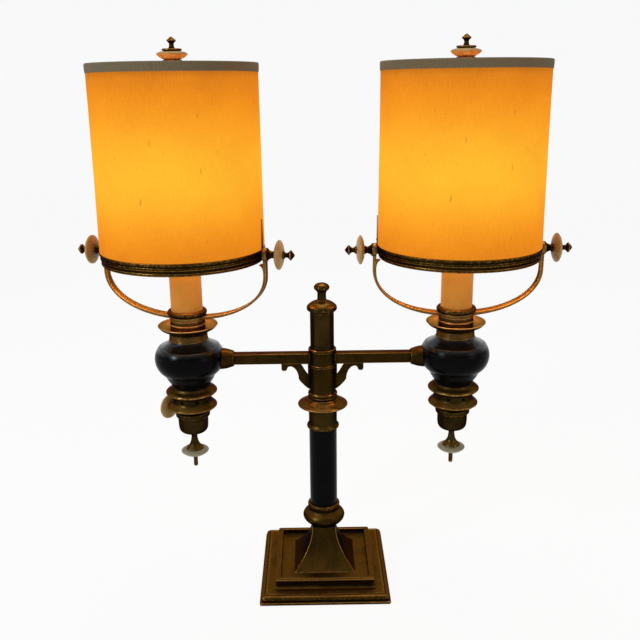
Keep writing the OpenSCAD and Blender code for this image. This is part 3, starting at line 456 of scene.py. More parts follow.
class Graph:
    """A material's node tree, with short calls that add nodes and link them."""

    def __init__(self, name: str) -> None:
        """Starts a material with one shader.

        Args:
            name: The material's name.
        """
        self.material = bpy.data.materials.new(name)
        self.material.use_nodes = True
        self.tree = self.material.node_tree
        self.tree.nodes.clear()
        self.shader = self.node("ShaderNodeBsdfPrincipled")
        self.output = self.node("ShaderNodeOutputMaterial")
        self.tree.links.new(self.shader.outputs[0], self.output.inputs[0])

    def node(self, kind: str, **settings: Any) -> bpy.types.Node:
        """Adds a node with its settings."""
        made = self.tree.nodes.new(kind)
        for name, value in settings.items():
            setattr(made, name, value)
        return made

    def feed(self, socket: Socket, value: Any) -> None:
        """Links a socket or sets its value.

        Args:
            socket: The input.
            value: Another node's output, a number or a colour.
        """
        if isinstance(value, bpy.types.NodeSocket):
            self.tree.links.new(value, socket)
        elif isinstance(value, tuple) and socket.type == "RGBA":
            socket.default_value = (*value[:3], 1.0)
        else:
            socket.default_value = value

    def set_shader(self, **values: Any) -> None:
        """Feeds the shader's inputs, named with underscores for spaces."""
        for name, value in values.items():
            self.feed(self.shader.inputs[name.replace("_", " ")], value)

    def coordinates(self, kind: str = "Object", shift: Colour = (0, 0, 0),
                    scale: Colour = (1, 1, 1)) -> Socket:
        """Coordinates on the piece, shifted and then scaled.

        Args:
            kind: Object or UV.
            shift: What is added.
            scale: What the sum is multiplied by.
        Returns:
            The vector.
        """
        vector = self.node("ShaderNodeTexCoord").outputs[kind]
        mapping = self.node("ShaderNodeMapping")
        self.feed(mapping.inputs["Vector"], vector)
        self.feed(mapping.inputs["Location"], tuple(s * k for s, k in zip(shift, scale)))
        self.feed(mapping.inputs["Scale"], scale)
        return mapping.outputs[0]

    def noise(self, vector: Socket, scale: float, detail: float = 2.0,
              roughness: float = 0.5) -> Socket:
        """Cloudy noise from 0 to 1 in a number of features to the metre."""
        made = self.node("ShaderNodeTexNoise")
        self.feed(made.inputs["Vector"], vector)
        self.feed(made.inputs["Scale"], scale)
        self.feed(made.inputs["Detail"], detail)
        self.feed(made.inputs["Roughness"], roughness)
        return made.outputs["Fac"]

    def rings(self, value: Socket, scale: float) -> Socket:
        """Noise that changes only with one number, for turning marks."""
        made = self.node("ShaderNodeTexNoise", noise_dimensions="1D")
        self.feed(made.inputs["W"], value)
        self.feed(made.inputs["Scale"], scale)
        self.feed(made.inputs["Detail"], 2.0)
        return made.outputs["Fac"]

    def attribute(self, name: str) -> Socket:
        """A number that the mesh carries at each point."""
        return self.node("ShaderNodeAttribute", attribute_name=name).outputs["Fac"]

    def math(self, operation: str, a: Any, b: Any = 0.0, clamp: bool = False) -> Socket:
        """One sum on one or two numbers."""
        made = self.node("ShaderNodeMath", operation=operation, use_clamp=clamp)
        self.feed(made.inputs[0], a)
        self.feed(made.inputs[1], b)
        return made.outputs[0]

    def remap(self, value: Socket, low: float, high: float, new_low: float = 0.0,
              new_high: float = 1.0, smooth: bool = False) -> Socket:
        """Stretches a range of values to another, and holds it at the ends."""
        made = self.node("ShaderNodeMapRange",
                         interpolation_type="SMOOTHSTEP" if smooth else "LINEAR")
        for socket, number in zip(made.inputs, (value, low, high, new_low, new_high)):
            self.feed(socket, number)
        return made.outputs[0]

    def mix(self, factor: Any, a: Any, b: Any, blend: str = "MIX") -> Socket:
        """Mixes two colours."""
        made = self.node("ShaderNodeMix", data_type="RGBA", blend_type=blend)
        self.feed(made.inputs[0], factor)
        self.feed(made.inputs[6], a)
        self.feed(made.inputs[7], b)
        return made.outputs[2]

    def ramp(self, value: Socket, stops: Sequence[tuple[float, Colour]]) -> Socket:
        """Colours by value.

        Args:
            value: A number from 0 to 1.
            stops: The place and colour of each stop.
        Returns:
            The colour.
        """
        made = self.node("ShaderNodeValToRGB")
        elements = made.color_ramp.elements
        while len(elements) < len(stops):
            elements.new(0.5)
        for element, (place, colour) in zip(elements, stops):
            element.position = place
            element.color = (*colour, 1.0)
        self.feed(made.inputs[0], value)
        return made.outputs[0]

    def split(self, vector: Socket) -> bpy.types.NodeOutputs:
        """The three parts of a vector."""
        made = self.node("ShaderNodeSeparateXYZ")
        self.feed(made.inputs[0], vector)
        return made.outputs

    def upward(self) -> Socket:
        """How far the piece's own surface faces up, 1 on a level top."""
        return self.split(self.node("ShaderNodeTexCoord").outputs["Normal"])[2]

    def shelter(self, distance: float) -> Socket:
        """How open a point lies, 1 in the open and 0 in a crevice."""
        made = self.node("ShaderNodeAmbientOcclusion", samples=6)
        self.feed(made.inputs["Distance"], distance)
        return made.outputs["AO"]

    def bump(self, height: Socket, distance: float, strength: float = 1.0) -> Socket:
        """A bumped normal.

        Args:
            height: The relief from 0 to 1.
            distance: How deep it is, in metres.
            strength: How much of it shows.
        Returns:
            The normal.
        """
        made = self.node("ShaderNodeBump")
        self.feed(made.inputs["Strength"], strength)
        self.feed(made.inputs["Distance"], distance)
        self.feed(made.inputs["Height"], height)
        return made.outputs[0]


@dataclass(frozen=True)
class PatinaMetal:
    """Brass or bronze that has darkened in its hollows and worn bright on its edges, with painted
    shade in its crevices and a painted lighter colour on faces that look up.
    """

    name: str
    bright: Colour
    dark: Colour
    worn: Colour
    # A painted lighter colour for faces that look up, standing in for light from above.
    top: Colour
    smooth: float = 0.26
    dull: float = 0.50
    age: float = 0.5
    marks: float = 1.0
    # How strongly painted shade from ambient occlusion darkens crevices into the tarnish.
    grime_and_shade: float = 0.75
    grit: float = 0.00009
    rim: Colour = (0.26, 0.135, 0.035)

    def build(self) -> bpy.types.Material:
        """Builds the node tree.

        Returns:
            The material.
        """
        g = Graph(self.name)
        place = g.coordinates()
        blotch = g.noise(place, 42, 4, 0.6)
        mottle = g.noise(place, 380, 4, 0.62)
        fine = g.noise(place, 2400, 2)
        edge = g.attribute("edge")
        hollow = g.remap(edge, -0.05, -0.5)
        # Painted shade: ambient occlusion darkens crevices and the places where parts meet, mixed
        # into the tarnish.
        crevice_shade = g.remap(g.shelter(0.007), 0.35, 0.95, 1.0, 0.0)
        cloud = g.math("ADD", g.math("MULTIPLY", blotch, 0.75), g.math("MULTIPLY", mottle, 0.25))
        tarnish_and_shade = g.remap(cloud, 0.36, 0.66, 0.0, self.age, smooth=True)
        tarnish_and_shade = g.math("ADD", tarnish_and_shade, g.math("MULTIPLY", hollow, 0.5))
        tarnish_and_shade = g.math("ADD", tarnish_and_shade, g.math("MULTIPLY", crevice_shade, self.grime_and_shade), clamp=True)
        # Painted light: faces that look up take the lighter top colour and lose some tarnish.
        painted_top_light = g.remap(g.upward(), 0.35, 0.92, smooth=True)
        rubbed = g.math("ADD", edge, g.remap(mottle, 0.3, 0.7, -0.22, 0.22))
        rubbed = g.remap(rubbed, 0.16, 0.62, smooth=True)
        rubbed = g.math("MULTIPLY", rubbed, g.remap(crevice_shade, 0.1, 0.7, 1.0, 0.15))
        colour = g.mix(painted_top_light, self.bright, self.top)
        aged = g.math("SUBTRACT", tarnish_and_shade, g.math("MULTIPLY", painted_top_light, 0.45), clamp=True)
        colour = g.mix(aged, colour, self.dark)
        warm = g.mix(g.remap(blotch, 0.35, 0.68), (1.0, 0.96, 0.86), (0.94, 1.0, 0.9))
        colour = g.mix(1.0, colour, warm, "MULTIPLY")
        colour = g.mix(g.math("MULTIPLY", rubbed, 0.75), colour, self.worn)
        rough = g.remap(tarnish_and_shade, 0.0, 1.0, self.smooth, self.dull)
        rough = g.math("ADD", rough, g.remap(fine, 0.3, 0.7, -0.06, 0.06))
        rough = g.math("SUBTRACT", rough, g.math("MULTIPLY", rubbed, 0.08), clamp=True)
        turning = g.rings(g.attribute("along"), 2.6)
        relief = g.math("ADD", g.math("MULTIPLY", turning, 0.5 * self.marks),
                        g.math("MULTIPLY", mottle, 0.55))
        relief = g.math("ADD", relief, g.math("MULTIPLY", fine, 0.16))
        g.set_shader(Base_Color=colour, Metallic=0.94, Roughness=rough,
                     Normal=g.bump(relief, self.grit), Specular_IOR_Level=0.3,
                     Specular_Tint=self.rim)
        return g.material


@dataclass(frozen=True)
class GlossEnamel:
    """Black stoving enamel with a little orange peel, dust and rubbed edges."""

    name: str
    black: Colour = (0.0022, 0.0021, 0.0024)
    rubbed: Colour = (0.020, 0.012, 0.006)

    def build(self) -> bpy.types.Material:
        """Builds the node tree.

        Returns:
            The material.
        """
        g = Graph(self.name)
        place = g.coordinates()
        cloud = g.noise(place, 30, 4, 0.6)
        peel = g.noise(place, 520, 2)
        speck = g.noise(place, 1900, 2)
        edge = g.remap(g.attribute("edge"), 0.25, 0.9, smooth=True)
        colour = g.mix(g.remap(cloud, 0.45, 0.7, 0.0, 0.5), self.black, (0.005, 0.004, 0.004))
        colour = g.mix(g.remap(speck, 0.66, 0.76, 0.0, 0.3), colour, (0.012, 0.010, 0.008))
        colour = g.mix(g.math("MULTIPLY", edge, g.remap(peel, 0.4, 0.6)), colour, self.rubbed)
        rough = g.math("ADD", g.remap(cloud, 0.35, 0.7, 0.20, 0.28),
                       g.remap(speck, 0.6, 0.8, 0.0, 0.12))
        polish = g.remap(g.upward(), 0.40, 0.75, 0.03, 0.80, smooth=True)
        g.set_shader(Base_Color=colour, Roughness=rough, Normal=g.bump(peel, 0.00005),
                     Specular_IOR_Level=polish)
        return g.material


@dataclass(frozen=True)
class PolishedIvory:
    """Old ivory-coloured resin: faint grain, fine cracks with grime, and painted shade in the
    corners.
    """

    name: str
    pale: Colour = (0.50, 0.305, 0.105)
    aged: Colour = (0.36, 0.195, 0.058)
    # The colour of the grime in the cracks and of the painted shade in the corners.
    grime_and_shade: Colour = (0.045, 0.022, 0.008)

    def build(self) -> bpy.types.Material:
        """Builds the node tree.

        Returns:
            The material.
        """
        g = Graph(self.name)
        place = g.coordinates()
        cloud = g.noise(place, 90, 4, 0.6)
        grain = g.noise(g.coordinates(scale=(1.0, 1.0, 6.0)), 260, 4, 0.6)
        cracks = g.node("ShaderNodeTexVoronoi", feature="DISTANCE_TO_EDGE")
        g.feed(cracks.inputs["Vector"], place)
        g.feed(cracks.inputs["Scale"], 210.0)
        crack = g.math("MULTIPLY", g.remap(cracks.outputs["Distance"], 0.0, 0.05, 1.0, 0.0),
                       g.remap(cloud, 0.5, 0.62))
        colour = g.mix(g.remap(cloud, 0.36, 0.66, 0.0, 0.6), self.pale, self.aged)
        colour = g.mix(g.remap(grain, 0.4, 0.7, 0.0, 0.25), colour, self.aged)
        colour = g.mix(g.math("MULTIPLY", crack, 0.22), colour, self.grime_and_shade)
        # Painted shade: ambient occlusion darkens the corners towards the same dark colour as the
        # grime in the cracks.
        crevice_shade = g.remap(g.shelter(0.009), 0.4, 0.98, 0.9, 0.0)
        colour = g.mix(crevice_shade, colour, self.grime_and_shade)
        relief = g.math("ADD", g.math("MULTIPLY", grain, 0.6), g.math("MULTIPLY", crack, -0.4))
        g.set_shader(Base_Color=colour, Roughness=g.remap(grain, 0.3, 0.7, 0.26, 0.42),
                     Normal=g.bump(relief, 0.000025), Specular_IOR_Level=0.16,
                     Subsurface_Weight=0.1, Subsurface_Scale=0.004)
        return g.material


@dataclass(frozen=True)
class LitLinen:
    """Slubby linen with a bulb behind it, brightest level with the bulb."""

    name: str
    axis_x: float
    bright_turn: float
    base: Colour = (0.085, 0.028, 0.003)
    hot: Colour = (1.0, 0.520, 0.030)
    middle: Colour = (0.97, 0.370, 0.018)
    low: Colour = (0.84, 0.262, 0.0105)
    edge: Colour = (0.66, 0.190, 0.010)
    hot_height: float = 0.484
    # Height of the braid's lower edge in UV metres; a painted shadow dims the glow just below it.
    braid_shadow_edge: float = 0.1815

    def glow(self, g: Graph) -> Socket:
        """How strongly the bulb shows at a place, from 0 to 1.

        Args:
            g: The material's graph.
        Returns:
            The value.
        """
        parts = g.split(g.coordinates(shift=(-self.axis_x, 0.0, -self.hot_height)))
        turn = math.radians(self.bright_turn)
        front = g.math("ADD", g.math("MULTIPLY", parts[0], -math.sin(turn) / 0.088),
                       g.math("MULTIPLY", parts[1], -math.cos(turn) / 0.088))
        front = g.math("MAXIMUM", front, g.math("MULTIPLY", front, -0.85))
        above = g.remap(parts[2], 0.0, 0.110, 1.0, 0.0, smooth=True)
        below = g.remap(parts[2], -0.088, 0.0, 0.12, 1.0, smooth=True)
        level = g.math("MULTIPLY", above, below)
        return g.math("MULTIPLY", level, g.remap(front, 0.0, 1.0, 0.72, 1.0), clamp=True)

    def build(self) -> bpy.types.Material:
        """Builds the node tree.

        Returns:
            The material.
        """
        g = Graph(self.name)
        cloth = g.coordinates("UV")
        slub = g.noise(g.coordinates("UV", scale=(1.0, 0.09, 1.0)), 900, 3, 0.6)
        weft = g.noise(g.coordinates("UV", scale=(0.06, 1.0, 1.0)), 1100, 3, 0.6)
        fleck = g.noise(g.coordinates("UV", scale=(1.0, 0.22, 1.0)), 330, 1, 0.4)
        sparse = g.noise(cloth, 60, 2)
        cloud = g.noise(cloth, 16, 3)
        flecks = g.math("MULTIPLY", g.remap(fleck, 0.70, 0.76, smooth=True),
                        g.remap(sparse, 0.5, 0.58))
        warp_lines = g.node("ShaderNodeTexWave", bands_direction="X")
        weft_lines = g.node("ShaderNodeTexWave", bands_direction="Y")
        for lines, scale in ((warp_lines, 260.0), (weft_lines, 250.0)):
            g.feed(lines.inputs["Vector"], cloth)
            g.feed(lines.inputs["Scale"], scale)
            g.feed(lines.inputs["Distortion"], 1.2)
            g.feed(lines.inputs["Detail"], 2.0)
        weave = g.math("MULTIPLY", warp_lines.outputs["Fac"], weft_lines.outputs["Fac"])
        threads = g.math("ADD", g.remap(slub, 0.3, 0.7, -0.022, 0.022),
                         g.remap(weft, 0.3, 0.7, -0.018, 0.018))
        threads = g.math("ADD", threads, g.remap(weave, 0.0, 1.0, -0.014, 0.014))
        threads = g.math("ADD", threads, g.remap(cloud, 0.3, 0.7, -0.035, 0.035))
        shine = g.math("ADD", self.glow(g), threads, clamp=True)
        colour = g.ramp(shine, ((0.0, self.edge), (0.2, self.low), (0.55, self.middle),
                                (1.0, self.hot)))
        colour = g.mix(g.math("MULTIPLY", flecks, 0.45), colour, (0.55, 0.13, 0.010))
        level = g.math("ADD", 1.0, g.math("MULTIPLY", threads, 1.1))
        # Painted shadow of the braid: the glow falls to 0.8 just below its lower edge.
        level = g.math("MULTIPLY", level, g.remap(g.split(cloth)[1], self.braid_shadow_edge - 0.007,
                                                  self.braid_shadow_edge, 1.0, 0.80, smooth=True))
        glowing = g.mix(1.0, colour, level, "MULTIPLY")
        base = g.mix(g.remap(slub, 0.3, 0.7), self.base, tuple(c * 1.5 for c in self.base))
        base = g.mix(flecks, base, (0.05, 0.015, 0.003))
        relief = g.math("ADD", g.math("MULTIPLY", slub, 0.6), g.math("MULTIPLY", weave, 0.5))
        g.set_shader(Base_Color=base, Roughness=0.95, Emission_Color=glowing,
                     Emission_Strength=0.95, Specular_IOR_Level=0.02,
                     Normal=g.bump(relief, 0.00035, 0.8))
        return g.material


@dataclass(frozen=True)
class CordedBraid:
    """The taupe braid round a shade's top, with twisted cords and loose fibres."""

    name: str
    light: Colour = (0.20, 0.148, 0.084)
    deep: Colour = (0.135, 0.098, 0.056)

    def build(self) -> bpy.types.Material:
        """Builds the node tree.

        Returns:
            The material.
        """
        g = Graph(self.name)
        place = g.coordinates()
        cords = g.noise(g.coordinates("UV", scale=(1.0, 0.25, 1.0)), 700, 3, 0.6)
        fibre = g.noise(place, 1500, 3, 0.7)
        cloud = g.noise(place, 40, 3)
        # Painted shade: the curvature mark darkens the grooves between the cords and lightens
        # their crowns.
        edge = g.remap(g.attribute("edge"), -0.8, 0.8)
        depth = g.math("ADD", g.math("MULTIPLY", cords, 0.5), g.math("MULTIPLY", edge, 0.5))
        colour = g.mix(g.remap(depth, 0.3, 0.7), self.deep, self.light)
        colour = g.mix(g.remap(cloud, 0.35, 0.7, 0.0, 0.3), colour, (0.22, 0.13, 0.055))
        relief = g.math("ADD", g.math("MULTIPLY", fibre, 0.5), g.math("MULTIPLY", cords, 0.5))
        g.set_shader(Base_Color=colour, Roughness=0.9, Sheen_Weight=0.08, Sheen_Roughness=0.5,
                     Specular_IOR_Level=0.1, Normal=g.bump(relief, 0.0004))
        return g.material


@dataclass(frozen=True)
class WarmCard:
    """A cream surface with the bulb's light painted on as a glow: candle sleeve or shade liner.
    """

    name: str
    cream: Colour
    shade: Colour
    glow: Colour
    glow_low: float
    glow_high: float
    strength: float

    def build(self) -> bpy.types.Material:
        """Builds the node tree.

        Returns:
            The material.
        """
        g = Graph(self.name)
        place = g.coordinates()
        cloud = g.noise(place, 55, 4, 0.6)
        fibre = g.noise(g.coordinates(scale=(1.0, 1.0, 0.2)), 900, 3, 0.6)
        speck = g.noise(place, 1500, 2)
        colour = g.mix(g.remap(cloud, 0.35, 0.68, 0.0, 0.7), self.cream, self.shade)
        colour = g.mix(g.remap(fibre, 0.5, 0.75, 0.0, 0.35), colour, self.shade)
        height = g.split(place)[2]
        # Painted light: the bulb's light on the card is an emission, brightest at glow_high and
        # fading downwards to glow_low.
        fall = g.remap(height, self.glow_low, self.glow_high, 0.25, 1.0, smooth=True)
        fall = g.math("MULTIPLY", fall, g.remap(cloud, 0.3, 0.7, 0.92, 1.08))
        glowing = g.mix(fall, (0.0, 0.0, 0.0), self.glow)
        relief = g.math("ADD", g.math("MULTIPLY", fibre, 0.6), g.math("MULTIPLY", speck, 0.3))
        g.set_shader(Base_Color=colour, Roughness=g.remap(speck, 0.3, 0.7, 0.42, 0.58),
                     Specular_IOR_Level=0.12, Normal=g.bump(relief, 0.00008),
                     Emission_Color=glowing, Emission_Strength=self.strength)
        return g.material


@dataclass(frozen=True)
class FrostedBulb:
    """The frosted glass of a lit bulb, cooler at its neck and veiled at its crown."""

    name: str
    light: Colour = (1.0, 0.46, 0.11)
    neck_height: float = 0.400
    crown_height: float = 0.440
    strength: float = 28.0

    def build(self) -> bpy.types.Material:
        """Builds the node tree.

        Returns:
            The material.
        """
        g = Graph(self.name)
        place = g.coordinates()
        grit = g.noise(place, 1600, 2)
        cloud = g.noise(place, 70, 3)
        rise = g.remap(g.split(place)[2], self.neck_height, self.crown_height, 0.35, 1.0)
        rise = g.math("MULTIPLY", rise, g.remap(cloud, 0.3, 0.7, 0.94, 1.06))
        rise = g.math("MULTIPLY", rise, g.remap(g.upward(), 0.35, 0.8, 1.0, 0.045, smooth=True))
        g.set_shader(Base_Color=g.mix(g.remap(cloud, 0.3, 0.7), (0.9, 0.8, 0.62),
                                      (0.86, 0.74, 0.54)),
                     Roughness=g.remap(grit, 0.3, 0.7, 0.35, 0.55),
                     Emission_Color=g.mix(rise, (0.1, 0.05, 0.02), self.light),
                     Emission_Strength=self.strength, Specular_IOR_Level=0.4,
                     Normal=g.bump(grit, 0.00004))
        return g.material


@dataclass(frozen=True)
class PlainSolid:
    """A rough or satin solid with grain, for the pieces that mostly stay hidden."""

    name: str
    first: Colour
    second: Colour
    grain: float
    roughness: float
    metallic: float = 0.0
    depth: float = 0.0001
    sheen: float = 0.0

    def build(self) -> bpy.types.Material:
        """Builds the node tree.

        Returns:
            The material.
        """
        g = Graph(self.name)
        place = g.coordinates()
        cloud = g.noise(place, 60, 3, 0.6)
        grain = g.noise(place, self.grain, 4, 0.65)
        colour = g.mix(g.remap(cloud, 0.35, 0.65), self.first, self.second)
        colour = g.mix(g.remap(grain, 0.45, 0.7, 0.0, 0.6), colour, self.second)
        rough = g.remap(grain, 0.3, 0.7, self.roughness - 0.08, self.roughness + 0.08)
        g.set_shader(Base_Color=colour, Metallic=self.metallic, Roughness=rough,
                     Sheen_Weight=self.sheen, Normal=g.bump(grain, self.depth))
        return g.material


def make_finishes() -> dict[Finish, bpy.types.Material]:
    """Builds every finish once.

    Returns:
        The material of each slot.
    """
    recipes = {
        Finish.BRONZE: PatinaMetal("dark_bronze", (0.031, 0.0165, 0.0032),
                                   (0.009, 0.0058, 0.0016), (0.34, 0.160, 0.036),
                                   (0.165, 0.080, 0.0155), age=0.75, smooth=0.28),
        Finish.OLD_BRASS: PatinaMetal("antique_brass", (0.036, 0.0215, 0.0055),
                                      (0.010, 0.0068, 0.0022), (0.40, 0.205, 0.055),
                                      (0.20, 0.105, 0.026), age=0.7),
        Finish.ENAMEL: GlossEnamel("black_enamel_coat"),
        Finish.IVORY: PolishedIvory("ivory_resin"),
        Finish.IRON: PlainSolid("cast_iron_skin", (0.10, 0.10, 0.11), (0.05, 0.04, 0.04),
                                700, 0.62, metallic=0.8, depth=0.0004),
        Finish.STEEL: PlainSolid("satin_steel", (0.50, 0.50, 0.52), (0.36, 0.35, 0.35),
                                 1800, 0.34, metallic=1.0, depth=0.00004),
        Finish.FELT: PlainSolid("green_felt", (0.030, 0.060, 0.036), (0.016, 0.034, 0.020),
                                1300, 0.92, depth=0.0006, sheen=0.3),
        Finish.RUBBER: PlainSolid("black_rubber", (0.018, 0.018, 0.018), (0.035, 0.033, 0.03),
                                  900, 0.6, depth=0.00005),
        Finish.WIRE: PlainSolid("brown_wire_cover", (0.10, 0.055, 0.028), (0.06, 0.03, 0.016),
                                1600, 0.55, depth=0.0002),
        Finish.CANDLE: WarmCard("candle_card_skin", (0.46, 0.200, 0.032),
                                (0.36, 0.145, 0.022), (1.0, 0.40, 0.04), 0.318, 0.405, 0.34),
        Finish.RESIN: PlainSolid("brown_resin", (0.060, 0.036, 0.022), (0.032, 0.018, 0.012),
                                 500, 0.38, depth=0.00004),
        Finish.BULB: FrostedBulb("frosted_glass_lit"),
    }
    return {finish: recipe.build() for finish, recipe in recipes.items()}


# The bench where pieces are dressed and reported


@dataclass
class Bench:
    """Dresses finished pieces, puts them on their bodies and reports them."""

    frame: dict[str, Any]
    finishes: dict[Finish, bpy.types.Material]
    joints: dict[str, dict[str, Any]] = field(default_factory=dict)

    def __post_init__(self) -> None:
        """Looks the joints up by name and mixes the finishes that single pieces wear, among them
        lit and shaded copies of the metal and ivory.
        """
        self.joints = {joint["name"]: joint for joint in self.frame["joints"]}
        # Painted light: brighter copies of the bronze for the yoke straps and of the brass for
        # the drip pans, lightest on their upward faces, stand in for the bulb's light falling on
        # them.
        self.bulb_lit_strap_metal = PatinaMetal("bulb_lit_strap_bronze", (0.170, 0.090, 0.024),
                                       (0.060, 0.031, 0.008), (0.44, 0.24, 0.07),
                                       (0.56, 0.33, 0.115), age=0.5, smooth=0.40, dull=0.56,
                                       marks=0.5, grime_and_shade=0.4, grit=0.00003).build()
        self.bulb_lit_pan_metal = PatinaMetal("bulb_lit_pan_brass", (0.060, 0.035, 0.010), (0.030, 0.017, 0.005),
                                     (0.56, 0.33, 0.11), (0.78, 0.48, 0.18), age=0.5,
                                     smooth=0.38, dull=0.54, marks=0.5, grime_and_shade=0.35,
                                     grit=0.00003).build()
        # Painted shade: a darker, cooler copy of the ivory for the drop discs that hang below the
        # lamps.
        self.shaded_ivory = PolishedIvory("shaded_cool_ivory_resin", (0.36, 0.315, 0.20),
                                        (0.23, 0.185, 0.105)).build()

    def low(self, node: str) -> float:
        """The lowest height of a node in millimetres."""
        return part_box(node)[0].z / MM

    def high(self, node: str) -> float:
        """The highest height of a node in millimetres."""
        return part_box(node)[1].z / MM

    def axis_x(self, side: Side) -> float:
        """Where a lamp's axis stands along X, in millimetres."""
        low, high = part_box(side.node("font_body"))
        return (low.x + high.x) / 2 / MM

    def tilt_turn(self, side: Side) -> float:
        """How far a lamp's yoke is turned about the vertical, in radians."""
        axis = self.joints[side.node("shade_tilt")]["axis"]
        return math.atan2(axis[1], axis[0])

    def pivot_height(self, side: Side) -> float:
        """The height of a shade's pivots in millimetres."""
        return self.joints[side.node("shade_tilt")]["pos_m"][2] / MM

    def along_joint(self, name: str) -> Matrix:
        """The place of a shape that turns on a joint, its own Z along the joint's axis."""
        joint = self.joints[name]
        return Matrix.Translation(Vector(joint["pos_m"]) / MM) @ facing(joint["axis"])

    def deliver(self, piece: Object, body: str, finish: Finish, *nodes: str,
                material: bpy.types.Material | None = None) -> Object:
        """Dresses a piece and hands it over to the frame.

        Args:
            piece: The finished object.
            body: The body that it rides on.
            finish: Its slot in the record.
            nodes: The nodes that it stands for.
            material: A material of its own, where it doesn't wear the slot's.
        Returns:
            The same object.
        """
        piece.data.materials.clear()
        piece.data.materials.append(material or self.finishes[finish])
        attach(piece, body)
        if nodes:
            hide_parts(*nodes)
        LOG.info("%s: %d faces, rides %s", piece.name, len(piece.data.polygons), body)
        return piece

    def turned(self, name: str, outline: Outline, place: Matrix, body: str, finish: Finish,
               *nodes: str, material: bpy.types.Material | None = None,
               **options: Any) -> Object:
        """Turns a piece and delivers it.

        Args:
            name: The piece's name.
            outline: Its outline.
            place: Where it goes.
            body: The body that it rides on.
            finish: Its slot in the record.
            nodes: The nodes that it stands for.
            material: A material of its own, where it doesn't wear the slot's.
            options: The lathe's own options.
        Returns:
            The finished object.
        """
        shape = Shape()
        shape.turn(outline, place, **options)
        return self.deliver(shape.finish(name), body, finish, *nodes, material=material)

    def keep_node(self, name: str, finish: Finish) -> Object:
        """Dresses a node whose own shape is right.

        Args:
            name: The node.
            finish: Its slot in the record.
        Returns:
            The node's object.
        """
        node = self.frame["nodes"][name]
        node.data.materials.clear()
        node.data.materials.append(self.finishes[finish])
        weld = node.modifiers.new("weld", "WELD")
        weld.merge_threshold = 0.000005
        split = node.modifiers.new("crisp_edges", "EDGE_SPLIT")
        split.split_angle = math.radians(32)
        for face in node.data.polygons:
            face.use_smooth = True
        LOG.info("%s: kept from the frame", name)
        return node


# The stand


